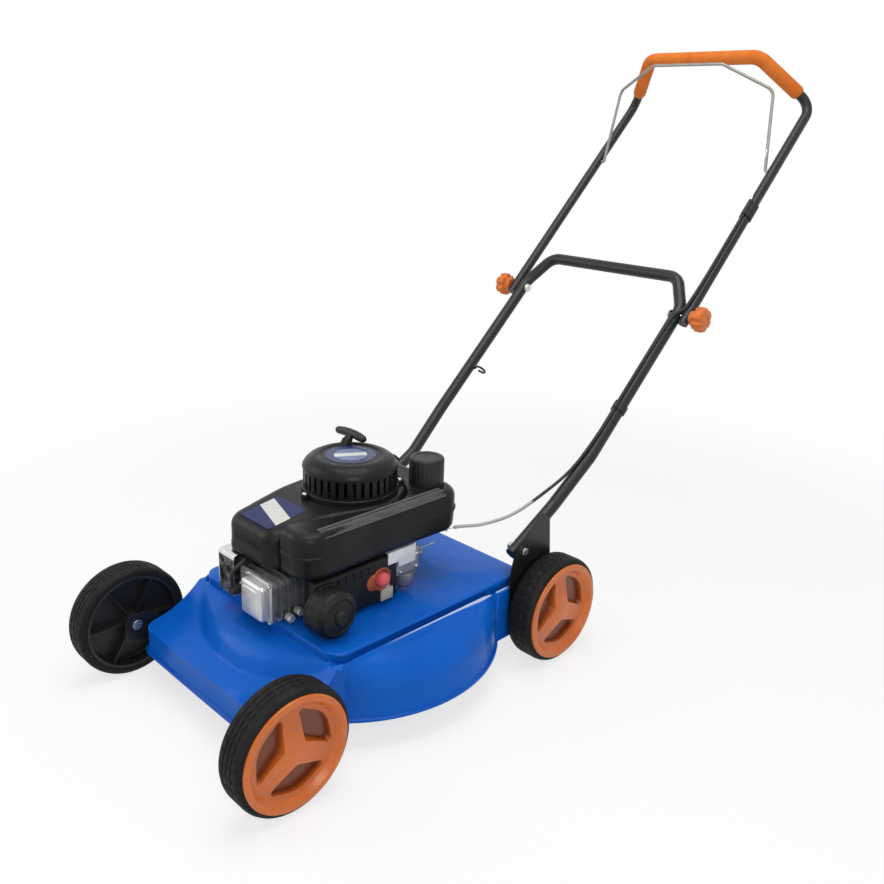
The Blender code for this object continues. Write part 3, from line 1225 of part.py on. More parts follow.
def build_brake_lever(frame, finishes):
    """The lever that the cable pulls, with its pad held against the flywheel's rim."""
    pivot = lever_pivot()
    hinge = empty_at("swing_brake_lever", (pivot.x, pivot.y, LEVER_PLATE_Z + 0.003), frame)
    low = LEVER_PLATE_Z + FIT_GAP + 0.0002
    high = low + LEVER_GAUGE
    reach = Vector((math.cos(LEVER_ANGLE), math.sin(LEVER_ANGLE), 0))
    side = Vector((-reach.y, reach.x, 0))
    far = Vector((*CABLE_EYE_AT, 0))
    corners = [pivot + side * 0.009 - reach * 0.006, pivot + side * 0.008 + reach * 0.007,
               far + Vector((-0.004, 0.004, 0)), far + Vector((0.005, -0.003, 0)),
               pivot - side * 0.008 + reach * 0.010, pivot - side * 0.026 + reach * 0.004,
               pivot - side * 0.027 - reach * 0.007, pivot - side * 0.008 - reach * 0.007]
    outline = rounded_outline([(c.x, c.y) for c in corners], [0.003] * 8, steps=1)
    lever = place("brake_lever", prism(outline, low, high), finishes["zinc"], hinge)
    cut(lever, rod(LEVER_PIN_RADIUS + FIT_GAP, low - 0.01, high + 0.01, SMALL_SEGMENTS,
                   (pivot.x, pivot.y, 0)))
    rim = FLYWHEEL_RADIUS + FIT_GAP
    pad = box((rim, rim + 0.004), (-0.0075, 0.0075), (low + 0.001, FLYWHEEL_Z + 0.012))
    pad.transform(Matrix.Translation((0, CRANK_Y, 0))
                  @ Matrix.Rotation(LEVER_ANGLE - math.radians(13), 4, "Z"))
    join(lever, pad)


def fin_ring(y, depth):
    """One rounded rectangle across the cylinder, drawn in by the fin depth."""
    left, right = CYLINDER_LEFT_X - depth, CYLINDER_RIGHT_X + depth
    low, high = CYLINDER_BOTTOM_Z + depth, CYLINDER_TOP_Z - depth
    corners = [(left, low), (left, high), (right, high), (right, low)]
    return [(x, y, z) for x, z in rounded_outline(corners, [0.006] * 4, steps=1)]


def build_cylinder(frame, alloy):
    """Finned cylinder and head in one casting, lying forward from the crankcase."""
    pitch = (CYLINDER_REAR_Y - CYLINDER_FRONT_Y - FIN_GAUGE) / (FIN_COUNT - 1)
    rings = []
    for k in range(FIN_COUNT):
        y = CYLINDER_FRONT_Y + k * pitch
        if k:
            rings.append(fin_ring(y, FIN_DEPTH))
        rings += [fin_ring(y, 0.0), fin_ring(y + FIN_GAUGE, 0.0)]
        if k < FIN_COUNT - 1:
            rings.append(fin_ring(y + FIN_GAUGE, FIN_DEPTH))
    cylinder = place("cylinder", rings_to_mesh(rings), alloy, frame)
    cut(cylinder, rod(0.0052, CYLINDER_FRONT_Y - 0.01, CYLINDER_FRONT_Y + 0.016, SMALL_SEGMENTS,
                      (PLUG_X, 0, PLUG_Z), "Y"))


def build_rocker_cover(frame, alloy):
    """The smooth pressed cover on the front of the head."""
    back = CYLINDER_FRONT_Y - FIT_GAP
    cover = box((COVER_PLATE_RIGHT_X, CYLINDER_LEFT_X), (back - 0.0195, back),
                (CYLINDER_BOTTOM_Z + 0.004, CYLINDER_TOP_Z - 0.001), 0.004, 2)
    place("rocker_cover", cover, alloy, frame)


def build_spark_plug(frame, finishes):
    """Spark plug in the right of the head, with its rubber boot and lead."""
    centre = (PLUG_X, 0, PLUG_Z)
    seat = CYLINDER_FRONT_Y - FIT_GAP
    plug = turned([(0, seat + 0.014), (0.0048, seat + 0.014), (0.0048, seat), (0.0082, seat),
                   (0.0082, seat - 0.006), (0.0045, seat - 0.008), (0.0035, seat - 0.018),
                   (0, seat - 0.018)], SMALL_SEGMENTS, centre, "Y")
    place("spark_plug", plug, finishes["zinc"], frame)
    tip = seat - 0.008
    boot = turned([(0.0045 + FIT_GAP, tip - FIT_GAP), (0.0080, tip - FIT_GAP), (0.0075, tip - 0.016),
                   (0, tip - 0.018), (0, tip - 0.0108), (0.0035 + FIT_GAP, tip - 0.0103)],
                  SMALL_SEGMENTS, centre, "Y")
    cap = place("plug_lead", boot, finishes["rubber"], frame)
    lead = bent_path([(PLUG_X, tip - 0.014, PLUG_Z), (PLUG_X, tip - 0.0145, PLUG_Z + 0.030),
                      (PLUG_X - 0.004, tip + 0.030, HOOD_BOTTOM_Z - 0.0006)], [0.012], steps=3)
    join(cap, tube(lead, 0.0035, 8))


def build_carburettor(frame, finishes):
    """Die-cast carburettor body on the crankcase's pad, with its float bowl below."""
    x = (CARB_INNER_X, CARB_INNER_X + 0.034)
    y = (CARB_FRONT_Y, CARB_FRONT_Y + 0.050)
    body = place("carburettor", box(x, y, (CARB_BOTTOM_Z, CARB_TOP_Z), 0.004),
                 finishes["alloy"], frame)
    bowl = ((x[0] + x[1]) / 2 + 0.002, (y[0] + y[1]) / 2 + 0.004, 0)
    low = CARB_BOTTOM_Z - 0.024
    join(body, turned([(0, low), (0.010, low), (0.0165, low + 0.004), (0.0165, CARB_BOTTOM_Z + 0.002),
                       (0, CARB_BOTTOM_Z + 0.002)], 12, bowl))
    join(body, rod(0.0060, -0.006, 0.012, 10, (x[1] - 0.012, y[1], CARB_TOP_Z - 0.020), "Y"))


def build_air_cleaner(frame, finishes):
    """Moulded intake elbow with the primer socket, and the round filter cover on it."""
    inner = CARB_INNER_X + 0.018
    base = place("intake_elbow", box((inner, INTAKE_OUTER_X), (INTAKE_FRONT_Y, CARB_FRONT_Y - FIT_GAP),
                                     (INTAKE_BOTTOM_Z, INTAKE_TOP_Z), 0.006),
                 finishes["moulding"], frame)
    cut(base, rod(PRIMER_RADIUS + RUNNING_GAP, INTAKE_OUTER_X - 0.011, INTAKE_OUTER_X + 0.01, 16,
                  (0, PRIMER_Y, PRIMER_Z), "X"))
    low = INTAKE_OUTER_X + FIT_GAP
    centre = (0, FILTER_Y, FILTER_Z)
    top = low + FILTER_DEPTH
    cover = turned([(0, low), (FILTER_RADIUS, low), (FILTER_RADIUS, top - 0.016),
                    (FILTER_RADIUS - 0.005, top - 0.009), (0.012, top - 0.006), (0.010, top),
                    (0, top)], 20, centre, "X")
    place("air_filter_cover", cover, finishes["moulding"], frame)
    hinge = empty_at("press_primer_bulb", (INTAKE_OUTER_X, PRIMER_Y, PRIMER_Z), frame)
    bulb = turned([(0, INTAKE_OUTER_X - 0.004), (PRIMER_RADIUS, INTAKE_OUTER_X - 0.004),
                   (PRIMER_RADIUS, INTAKE_OUTER_X + 0.004), (PRIMER_RADIUS - 0.002, INTAKE_OUTER_X + 0.009),
                   (PRIMER_RADIUS - 0.006, INTAKE_OUTER_X + 0.0125), (0, INTAKE_OUTER_X + 0.0135)],
                  16, (0, PRIMER_Y, PRIMER_Z), "X")
    place("primer_bulb", bulb, finishes["red"], hinge)


def build_muffler(frame, finishes):
    """Pressed muffler on the right of the cylinder, behind a slotted bright guard."""
    left = CYLINDER_RIGHT_X - FIT_GAP
    body = (MUFFLER_RIGHT_X, left)
    y = (CYLINDER_FRONT_Y + 0.004, CYLINDER_FRONT_Y + 0.074)
    z = (MUFFLER_BOTTOM_Z, MUFFLER_TOP_Z)
    place("muffler", box(body, y, z, 0.007, 2), finishes["dark_steel"], frame)
    air = 0.006
    sheet = 0.0012
    corner = 0.007
    right, front, top = body[0] - air, y[0] - air - 0.008, z[1] + 0.005
    edges = (left - 0.003, y[1] - 0.004, z[0] - 0.004)
    past = 0.010
    outer = box((right, edges[0] + past), (front, edges[1] + past), (edges[2] - past, top), corner, 2)
    guard = place("muffler_guard", outer, finishes["chrome"], frame)
    cut(guard, box((right + sheet, edges[0] + 2 * past), (front + sheet, edges[1] + 2 * past),
                   (edges[2] - 2 * past, top - sheet), corner - sheet, 2))
    beyond = 2 * past
    across = (right - past, edges[0] + beyond)
    along = (front - past, edges[1] + beyond)
    upright = (edges[2] - beyond, top + past)
    cut(guard, box((edges[0], edges[0] + beyond), along, upright))
    cut(guard, box(across, (edges[1], edges[1] + beyond), upright))
    cut(guard, box(across, along, (edges[2] - beyond, edges[2])))
    slots = bmesh.new()
    for k in range(5):
        low = y[0] + 0.002 + k * 0.012
        append_mesh(slots, box((body[0] - 0.02, body[0] - 0.001), (low, low + 0.005),
                               (z[0] + 0.010, z[1] - 0.010)))
    cut(guard, slots)
    for height in (z[0] + 0.014, z[1] - 0.014):
        join(guard, rod(0.0035, y[0] - air - 0.0075, y[0] - FIT_GAP, 8,
                        (body[0] + 0.020, 0, height), "Y"))


def build_crank_and_blade(frame, finishes):
    """Everything that spins: flywheel, crankshaft, blade carrier, blade and its bolt."""
    centre = (0, CRANK_Y, 0)
    hinge = empty_at("spin_crank", (0, CRANK_Y, BLADE_Z), frame)
    shaft_low = BLADE_Z + BLADE_GAUGE + FIT_GAP
    socket = shaft_low + 0.024
    shaft_top = FLYWHEEL_Z + 0.018
    neck = SHAFT_NECK_RADIUS
    thread = BLADE_BOLT_RADIUS + FIT_GAP
    shaft = turned([(thread, shaft_low), (SHAFT_RADIUS, shaft_low), (SHAFT_RADIUS, FLYWHEEL_Z - 0.005),
                    (neck, FLYWHEEL_Z - 0.002), (neck, shaft_top), (0, shaft_top),
                    (0, socket), (thread, socket)], 16, centre)
    place("crankshaft", shaft, finishes["steel"], hinge)
    bore = neck + FIT_GAP
    radius = FLYWHEEL_RADIUS
    low = FLYWHEEL_Z
    disc = turned([(bore, low), (radius, low), (radius, low + FLYWHEEL_RIM),
                   (radius - 0.010, low + FLYWHEEL_RIM),
                   (radius - 0.014, low + 0.006), (0.022, low + 0.006), (0.020, low + 0.016),
                   (bore, low + 0.016)], 16, centre)
    wheel = place("flywheel", disc, finishes["alloy"], hinge)
    vanes = bmesh.new()
    for k in range(8):
        vane = box((radius - 0.003 - VANE_LENGTH, radius - 0.003), (-0.0012, 0.0012),
                   (low + 0.004, low + VANE_TOP))
        vane.transform(Matrix.Translation(centre) @ Matrix.Rotation(2 * math.pi * k / 8, 4, "Z"))
        append_mesh(vanes, vane)
    join(wheel, vanes)
    hub_low = shaft_low
    hub = turned([(SHAFT_RADIUS + FIT_GAP, hub_low), (0.030, hub_low), (0.030, hub_low + 0.006),
                  (0.021, hub_low + 0.009), (0.020, hub_low + 0.034),
                  (SHAFT_RADIUS + FIT_GAP, hub_low + 0.034)], 16, centre)
    place("blade_carrier", hub, finishes["dark_steel"], hinge)
    build_blade(hinge, finishes["steel"])
    under = BLADE_Z - FIT_GAP
    bolt = turned([(0, under - 0.0085), (0.0095, under - 0.0085), (0.0095, under - 0.003),
                   (0.0150, under - 0.003), (0.0150, under), (BLADE_BOLT_RADIUS, under),
                   (BLADE_BOLT_RADIUS, socket - 0.003), (0, socket - 0.003)], SMALL_SEGMENTS, centre)
    place("blade_bolt", bolt, finishes["zinc"], hinge)


def build_blade(hinge, steel):
    """The cutting bar: flat middle, ground leading edges and raised wings behind the tips."""
    half = BLADE_LENGTH / 2
    width = BLADE_WIDTH / 2
    rings = []
    for along in (-half, -half + 0.012, -half + 0.055, -half + 0.075, half - 0.075, half - 0.055,
                  half - 0.012, half):
        side = math.copysign(1, along)
        tip = abs(along) > half - 0.060
        lift = 0.016 if tip else 0.0
        ground = abs(along) > half - 0.070
        lead = 0.0006 if ground else BLADE_GAUGE
        heights = [(-1, 0.0, lead), (-0.45, 0.0, BLADE_GAUGE), (0.40, 0.0, BLADE_GAUGE),
                   (0.95, lift, BLADE_GAUGE)]
        low = [(share * width * side, BLADE_Z + rise) for share, rise, gauge in heights]
        high = [(share * width * side, BLADE_Z + rise + gauge) for share, rise, gauge in heights]
        loop = low + high[::-1]
        if side < 0:
            loop = loop[::-1]
            loop = loop[4:] + loop[:4]
        rings.append([(x, CRANK_Y + along, z) for x, z in loop])
    blade = place("blade", rings_to_mesh(rings), steel, hinge)
    cut(blade, rod(BLADE_BOLT_RADIUS + FIT_GAP, BLADE_Z - 0.01, BLADE_Z + 0.02, SMALL_SEGMENTS,
                   (0, CRANK_Y, 0)))


def centre_over_origin(frame):
    """Moves the machine so that the middle of its box stands over the world origin."""
    bpy.context.view_layer.update()
    graph = bpy.context.evaluated_depsgraph_get()
    spread = []
    for item in bpy.data.objects:
        if item.type in {"MESH", "CURVE"} and not item.hide_render:
            shape = item.evaluated_get(graph)
            spread += [(shape.matrix_world @ vert.co).y for vert in shape.to_mesh().vertices]
            shape.to_mesh_clear()
    frame.location.y -= (min(spread) + max(spread)) / 2
    bpy.context.view_layer.update()


def make_finishes():
    return {
        "blue": finish("deck_blue", (0.012, 0.085, 0.52), 0.28, 0.2),
        "rubber": finish("tyre_rubber", (0.022, 0.022, 0.022), 0.75),
        "moulding": finish("black_moulding", (0.016, 0.016, 0.017), 0.5),
        "orange": finish("orange_moulding", (0.83, 0.24, 0.03), 0.4),
        "red": finish("red_rubber", (0.55, 0.02, 0.02), 0.35),
        "zinc": finish("zinc_plate", (0.62, 0.62, 0.60), 0.35, 1.0),
        "alloy": finish("cast_alloy", (0.60, 0.60, 0.60), 0.45, 0.9),
        "steel": finish("bare_steel", (0.45, 0.45, 0.46), 0.35, 1.0),
        "dark_steel": finish("dark_steel", (0.08, 0.08, 0.08), 0.55, 0.8),
        "chrome": finish("bright_plate", (0.80, 0.80, 0.80), 0.15, 1.0),
        "black_steel": finish("black_powder_coat", (0.012, 0.012, 0.013), 0.42, 0.3),
    }


def main():
    clear_scene()
    finishes = make_finishes()
    frame = empty_at("mower_frame", (0, 0, 0), None)
    deck = build_deck(frame, finishes["blue"])
    add_door_ears(deck)
    build_chute_door(frame, finishes)
    for name, side in SIDES.items():
        build_wheel("front_" + name, side, 0.0, frame, finishes)
        build_wheel("rear_" + name, side, WHEELBASE, frame, finishes)
        build_front_bracket(name, side, frame, finishes["black_steel"])
        build_handle_bracket(name, side, frame, finishes["black_steel"])
        build_handle_bolt(name, side, frame, finishes["zinc"])
        build_knob(name, side, frame, finishes["orange"])
        build_knob_bolt(name, side, frame, finishes["zinc"])
    add_rope_guide(build_lower_handle(frame, finishes["black_steel"]))
    fold = empty_at("fold_upper_handle", (0, KNOB_Y, KNOB_Z), frame)
    build_upper_handle(fold, finishes["black_steel"])
    build_grip(fold, finishes["orange"])
    bail = empty_at("swing_stop_bail", (0, BAIL_PIVOT_Y, bail_pivot_z()), fold)
    build_bail(bail, finishes["black_steel"])
    build_cables(frame, fold, finishes["moulding"])
    build_hood(frame, finishes["moulding"])
    build_starter(frame, finishes)
    build_starter_grip(frame, finishes["moulding"])
    build_tank(frame, finishes["moulding"])
    build_fuel_cap(frame, finishes["moulding"])
    build_crankcase(frame, finishes["alloy"])
    build_dipstick(frame, finishes)
    build_brake_lever(frame, finishes)
    build_cylinder(frame, finishes["alloy"])
    build_rocker_cover(frame, finishes["alloy"])
    build_spark_plug(frame, finishes)
    build_carburettor(frame, finishes)
    build_air_cleaner(frame, finishes)
    build_muffler(frame, finishes)
    build_crank_and_blade(frame, finishes)
    centre_over_origin(frame)


main()
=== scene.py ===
from math import atan2, copysign, cos, hypot, inf, pi, radians, sin, sqrt, tan

import bmesh
import bpy
from mathutils import Matrix, Vector


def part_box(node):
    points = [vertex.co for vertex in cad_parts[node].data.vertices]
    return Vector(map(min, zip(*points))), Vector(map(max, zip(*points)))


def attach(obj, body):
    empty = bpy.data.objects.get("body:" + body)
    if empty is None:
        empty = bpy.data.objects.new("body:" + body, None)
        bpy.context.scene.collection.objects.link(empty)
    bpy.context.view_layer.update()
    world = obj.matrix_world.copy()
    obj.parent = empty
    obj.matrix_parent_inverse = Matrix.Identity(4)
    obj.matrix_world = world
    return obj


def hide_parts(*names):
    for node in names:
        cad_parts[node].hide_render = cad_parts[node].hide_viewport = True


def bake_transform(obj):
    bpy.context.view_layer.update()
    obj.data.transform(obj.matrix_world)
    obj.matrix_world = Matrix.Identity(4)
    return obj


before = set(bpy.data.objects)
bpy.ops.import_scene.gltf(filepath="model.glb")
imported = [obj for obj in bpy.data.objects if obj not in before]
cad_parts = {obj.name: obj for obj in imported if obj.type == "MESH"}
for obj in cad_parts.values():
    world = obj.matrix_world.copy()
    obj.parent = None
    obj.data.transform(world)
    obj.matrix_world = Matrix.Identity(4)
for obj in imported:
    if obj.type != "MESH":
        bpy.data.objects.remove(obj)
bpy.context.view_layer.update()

# Camera. It stands to the left of the front wheels and looks back across the machine.
# Places are measured from the front axle, with Y towards the operator and X to the left.
axle_low, axle_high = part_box("tyre_front_left")
AXLE_Y = (axle_low.y + axle_high.y) / 2


def here(x, y, z):
    """A place measured from the front axle."""
    return Vector((x, y + AXLE_Y, z))


def placed(name, data):
    """A new object in the scene."""
    item = bpy.data.objects.new(name, data)
    bpy.context.scene.collection.objects.link(item)
    return item


PHOTO_SIDE = 884
FOCAL_PIXELS = 920.05
SENSOR = 36.0
AIM_PIXEL = (422.76, 413.44)
yaw, pitch, roll = (radians(angle) for angle in (45.641, 17.554, 1.613))
forward = Vector((-sin(yaw) * cos(pitch), cos(yaw) * cos(pitch), -sin(pitch)))
right = Vector((cos(yaw), sin(yaw), 0))
above = right.cross(forward)
across = right * cos(roll) + above * sin(roll)
upward = above * cos(roll) - right * sin(roll)
lens = bpy.data.cameras.new("camera")
lens.sensor_width = SENSOR
lens.lens = FOCAL_PIXELS * SENSOR / PHOTO_SIDE
lens.shift_x = (PHOTO_SIDE / 2 - AIM_PIXEL[0]) / PHOTO_SIDE
lens.shift_y = (AIM_PIXEL[1] - PHOTO_SIDE / 2) / PHOTO_SIDE
camera = placed("camera", lens)
turned_to = Matrix((across, upward, -forward)).transposed().to_4x4()
camera.matrix_world = Matrix.Translation(here(1.045, -0.5822, 0.8603)) @ turned_to
bpy.context.scene.camera = camera
bpy.context.scene.view_settings.view_transform = "Standard"


# Floor and light. A pale floor keeps the shadow, and the room's white shows behind the machine.
# A wide overhead lamp and two side lamps give the soft highlights of a product photograph.
def add_node(tree, kind, settings, inputs, output=0):
    """Adds a shader node: its settings first, then the values or links of its sockets."""
    made = tree.nodes.new("ShaderNode" + kind)
    for name, value in settings.items():
        setattr(made, name, value)
    for name, value in inputs.items():
        if isinstance(value, bpy.types.NodeSocket):
            tree.links.new(value, made.inputs[name])
        else:
            made.inputs[name].default_value = value
    return made.outputs[output]


def ray_is_seen(tree):
    """1 for rays that show the room itself: straight, in gloss or through glass."""
    path = tree.nodes.new("ShaderNodeLightPath").outputs
    seen = path["Is Camera Ray"]
    for name in ("Is Glossy Ray", "Is Transmission Ray"):
        seen = add_node(tree, "Math", {"operation": "MAXIMUM"}, {0: seen, 1: path[name]})
    return seen


def shaped(name, bm):
    """A new object with a drawn shape, which it takes over."""
    mesh = bpy.data.meshes.new(name)
    bm.to_mesh(mesh)
    bm.free()
    return placed(name, mesh)


world = bpy.data.worlds.new("room")
bpy.context.scene.world = world
world.use_nodes = True
room = world.node_tree
background = room.nodes["Background"]
background.inputs["Color"].default_value = (1.0, 1.0, 1.0, 1.0)
strength = add_node(room, "MapRange", {}, {"Value": ray_is_seen(room), "To Min": 0.42, "To Max": 1.0})
room.links.new(strength, background.inputs["Strength"])

floor_finish = bpy.data.materials.new("floor")
floor_finish.use_nodes = True
sheet = floor_finish.node_tree
matt = sheet.nodes["Principled BSDF"]
matt.inputs["Base Color"].default_value = (0.9, 0.9, 0.9, 1.0)
matt.inputs["Roughness"].default_value = 0.9
matt.inputs["Specular IOR Level"].default_value = 0.1
glow = add_node(sheet, "Emission", {}, {"Color": (1.0, 1.0, 1.0, 1.0)})
spot = add_node(sheet, "TexCoord", {}, {}, "Object")
away = add_node(sheet, "VectorMath", {"operation": "LENGTH"}, {0: spot}, "Value")
fade = add_node(sheet, "MapRange", {"interpolation_type": "SMOOTHSTEP"},
                {"Value": away, "From Min": 0.7, "From Max": 1.7, "To Min": 0.72})
share = add_node(sheet, "Math", {"operation": "MULTIPLY"}, {0: ray_is_seen(sheet), 1: fade})
mixed = add_node(sheet, "MixShader", {}, {"Fac": share, 1: matt.outputs[0], 2: glow})
sheet.links.new(mixed, sheet.nodes["Material Output"].inputs["Surface"])
floor_shape = bmesh.new()
bmesh.ops.create_grid(floor_shape, x_segments=1, y_segments=1, size=20.0)
floor = shaped("floor", floor_shape)
floor.data.materials.append(floor_finish)

for label, place, watts, side in (("overhead", here(0.2, 0.3, 2.6), 34.0, 1.8),
                                  ("left_front", here(1.9, -0.9, 1.7), 17.0, 1.0),
                                  ("right_front", here(-1.7, -1.2, 1.5), 11.0, 1.2)):
    lamp_data = bpy.data.lights.new(label, "AREA")
    lamp_data.energy = watts
    lamp_data.size = side
    lamp = placed(label, lamp_data)
    lamp.location = place
    lamp.rotation_euler = (here(0.0, 0.4, 0.3) - place).to_track_quat("-Z", "Y").to_euler()


# Deck. One sheet of steel pressed into a bowl round the blade, with boxed ends, a raised panel
# that carries the engine and a rolled lip. It is enamelled blue and cut open for the chute.
class Level:
    """A shader socket that takes part in sums, so that + - * and abs add Math nodes."""

    def __init__(self, finish, socket):
        self.finish = finish
        self.socket = socket

    def _maths(self, operation, first, second=0.0):
        return self.finish.add("Math", {"operation": operation}, {0: first, 1: second})

    def __add__(self, other):
        return self._maths("ADD", self, other)

    def __sub__(self, other):
        return self._maths("SUBTRACT", self, other)

    def __rsub__(self, other):
        return self._maths("SUBTRACT", other, self)

    def __mul__(self, other):
        return self._maths("MULTIPLY", self, other)

    def __abs__(self):
        return self._maths("ABSOLUTE", self)

    __radd__ = __add__
    __rmul__ = __mul__


class Finish:
    """One material of the machine, with the record's slot that it stands for.

    drift: a second tint, its share and how fine its patches are. rough: two values of roughness and
    how fine their patches are. grain: a bump's fineness, detail, depth, strength and stretch.
    """

    def __init__(self, name, slot, colour, drift=None, rough=None, grain=None, metallic=0.0,
                 specular=0.5, coat=(0.0, 0.03)):
        self.slot = slot
        self.material = bpy.data.materials.new(name)
        self.material.use_nodes = True
        self.tree = self.material.node_tree
        self.shader = self.tree.nodes["Principled BSDF"]
        for socket, value in (("Base Color", (*colour, 1.0)), ("Metallic", metallic),
                              ("Specular IOR Level", specular), ("Coat Weight", coat[0]),
                              ("Coat Roughness", coat[1])):
            self.shader.inputs[socket].default_value = value
        if drift:
            tint, amount, patch = drift
            share = self.patches(patch, low=0.35) * amount
            self.base = self.mix(share, (*colour, 1.0), (*tint, 1.0))
            self.feed("Base Color", self.base)
        if rough:
            low, high, patch = rough
            self.feed("Roughness", self.patches(patch, 4.0) * (high - low) + low)
        if grain:
            scale, detail, depth, strength, *stretch = grain
            height = self.noise(scale, detail, *stretch)
            bump = {"Height": height, "Distance": depth, "Strength": strength}
            self.feed("Normal", self.add("Bump", {}, bump))

    def add(self, kind, settings, inputs, output=0):
        """Adds a node of a kind, with its settings and then its sockets' values or links."""
        sockets = {name: getattr(value, "socket", value) for name, value in inputs.items()}
        return Level(self, add_node(self.tree, kind, settings, sockets, output))

    def feed(self, socket, level):
        self.tree.links.new(level.socket, self.shader.inputs[socket])

    def place(self, stretch=(1.0, 1.0, 1.0)):
        return self.add("Mapping", {}, {"Vector": self.add("TexCoord", {}, {}, "Object"), "Scale": stretch})

    def axis(self, index):
        """A point's place along X, Y or Z, for the index 0, 1 or 2."""
        return self.add("SeparateXYZ", {}, {0: self.place()}, index)

    def noise(self, scale, detail=3.0, stretch=(1.0, 1.0, 1.0)):
        return self.add("TexNoise", {}, {"Vector": self.place(stretch), "Scale": scale, "Detail": detail})

    def patches(self, scale, detail=3.0, low=0.3):
        """0 and 1 in soft, uneven patches."""
        return self.between(self.noise(scale, detail), low, 0.7)

    def between(self, level, low, high):
        """0 below the low value, 1 above the high one, and smooth in between."""
        return self.add("MapRange", {"interpolation_type": "SMOOTHSTEP"}, {0: level, 1: low, 2: high})

    def band(self, level, *edges):
        """1 between the middle two of four values, fading to 0 at the outer two."""
        return self.between(level, *edges[:2]) * (1.0 - self.between(level, *edges[2:]))

    def mix(self, share, first, second):
        return self.add("Mix", {"data_type": "RGBA"}, {0: share, 6: first, 7: second}, 2)

    def cover(self, share, colour):
        """Lays another colour over the one that the finish has so far."""
        self.base = self.mix(share, self.base, (*colour, 1.0))
        self.feed("Base Color", self.base)


deck_paint = Finish("deck_enamel", "deck_paint", (0.003, 0.098, 0.48), specular=0.08, coat=(0.05, 0.06),
                    drift=((0.004, 0.12, 0.55), 0.6, 9.0), rough=(0.22, 0.32, 45.0),
                    grain=(420.0, 2.0, 0.00004, 0.5))
# Painted highlight: the crest of the bead beside the panel's long sides is turned pale blue-white where light
# would catch it.
painted_bead_highlight = (deck_paint.band(abs(deck_paint.axis(0)), 0.1772, 0.1784, 0.1806, 0.182)
        * deck_paint.band(deck_paint.axis(1), *(AXLE_Y + y for y in (0.19, 0.3, 0.46, 0.49)))
        * deck_paint.between(deck_paint.axis(2), 0.1345, 0.1365))
deck_paint.cover(painted_bead_highlight * 0.8, (0.6, 0.7, 0.86))


def fit(name, bm, finish, body, *nodes, sharp=38.0, edge=0.0):
    """Makes a piece of a drawn shape, on the body that carries it, for the solids it stands for."""
    bmesh.ops.remove_doubles(bm, verts=bm.verts, dist=1e-6)
    bmesh.ops.recalc_face_normals(bm, faces=bm.faces)
    bmesh.ops.translate(bm, verts=bm.verts, vec=(0, AXLE_Y, 0))
    piece = shaped(name, bm)
    mesh = piece.data
    mesh.shade_smooth()
    mesh.set_sharp_from_angle(angle=radians(sharp))
    mesh.materials.append(finish.material)
    if edge:
        rounding = piece.modifiers.new("edge", "BEVEL")
        rounding.width = edge
        rounding.segments = 2
        rounding.limit_method = "ANGLE"
        rounding.angle_limit = radians(32)
        rounding.harden_normals = True
    if body:
        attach(piece, body)
    if nodes:
        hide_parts(*nodes)
    return piece


def lofted(rules, count, capped=False, looped=False):
    """Pulls one ring out of another: each rule gives a point for an angle round the ring."""
    bm = bmesh.new()
    turn = bm.verts.layers.float.new("turn")
    ring = bmesh.ops.create_circle(bm, segments=count, radius=1.0)["verts"]
    for vert in ring:
        vert[turn] = atan2(vert.co.y, vert.co.x) % (2 * pi)
    first = edges = bm.edges[:]
    for vert in ring:
        vert.co = rules[0](vert[turn])
    for rule in rules[1:]:
        made = bmesh.ops.extrude_edge_only(bm, edges=edges)["geom"]
        edges = [item for item in made if isinstance(item, bmesh.types.BMEdge)]
        for vert in (item for item in made if isinstance(item, bmesh.types.BMVert)):
            vert.co = rule(vert[turn])
    if looped:
        bmesh.ops.bridge_loops(bm, edges=first + edges)
    if capped:
        bmesh.ops.holes_fill(bm, edges=first + edges, sides=0)
    bmesh.ops.recalc_face_normals(bm, faces=bm.faces)
    return bm


def through(points):
    """A rule for a ring that follows a closed outline's own points."""
    return lambda angle: points[round(angle / (2 * pi) * len(points)) % len(points)]


def modified(bm, kind, **settings):
    """Runs one modifier on a drawn shape."""
    bmesh.ops.remove_doubles(bm, verts=bm.verts, dist=1e-6)
    item = shaped("draft", bm)
    step = item.modifiers.new(kind, kind)
    for name, value in settings.items():
        setattr(step, name, value)
    graph = bpy.context.evaluated_depsgraph_get()
    graph.update()
    result = bmesh.new()
    result.from_mesh(item.evaluated_get(graph).to_mesh())
    bpy.data.objects.remove(item)
    return result


def carved(bm, tool, operation="DIFFERENCE"):
    """Cuts a tool out of a shape, or joins it on."""
    bmesh.ops.remove_doubles(bm, verts=bm.verts, dist=1e-6)
    for shape in (bm, tool):
        bmesh.ops.recalc_face_normals(shape, faces=shape.faces)
    item = shaped("tool", tool)
    result = modified(bm, "BOOLEAN", object=item, operation=operation, solver="EXACT")
    bpy.data.objects.remove(item)
    return result


def gathered(*shapes):
    """Several drawn shapes in one."""
    whole = bmesh.new()
    for shape in shapes:
        mesh = bpy.data.meshes.new("part")
        bmesh.ops.recalc_face_normals(shape, faces=shape.faces)
        shape.to_mesh(mesh)
        shape.free()
        whole.from_mesh(mesh)
        bpy.data.meshes.remove(mesh)
    return whole


def block(x, y, z, bevel=0.0, segments=2):
    """A block between (low, high) pairs, with rounded edges where a bevel is given."""
    bm = bmesh.new()
    bmesh.ops.create_cube(bm, size=1.0)
    size = Vector((x[1] - x[0], y[1] - y[0], z[1] - z[0]))
    middle = Vector((x[0] + x[1], y[0] + y[1], z[0] + z[1])) / 2
    bmesh.ops.scale(bm, vec=size, verts=bm.verts)
    bmesh.ops.translate(bm, vec=middle, verts=bm.verts)
    if bevel:
        bmesh.ops.bevel(bm, geom=bm.edges[:], offset=bevel, segments=segments, profile=0.5,
                        affect="EDGES", material=-1)
    return bm


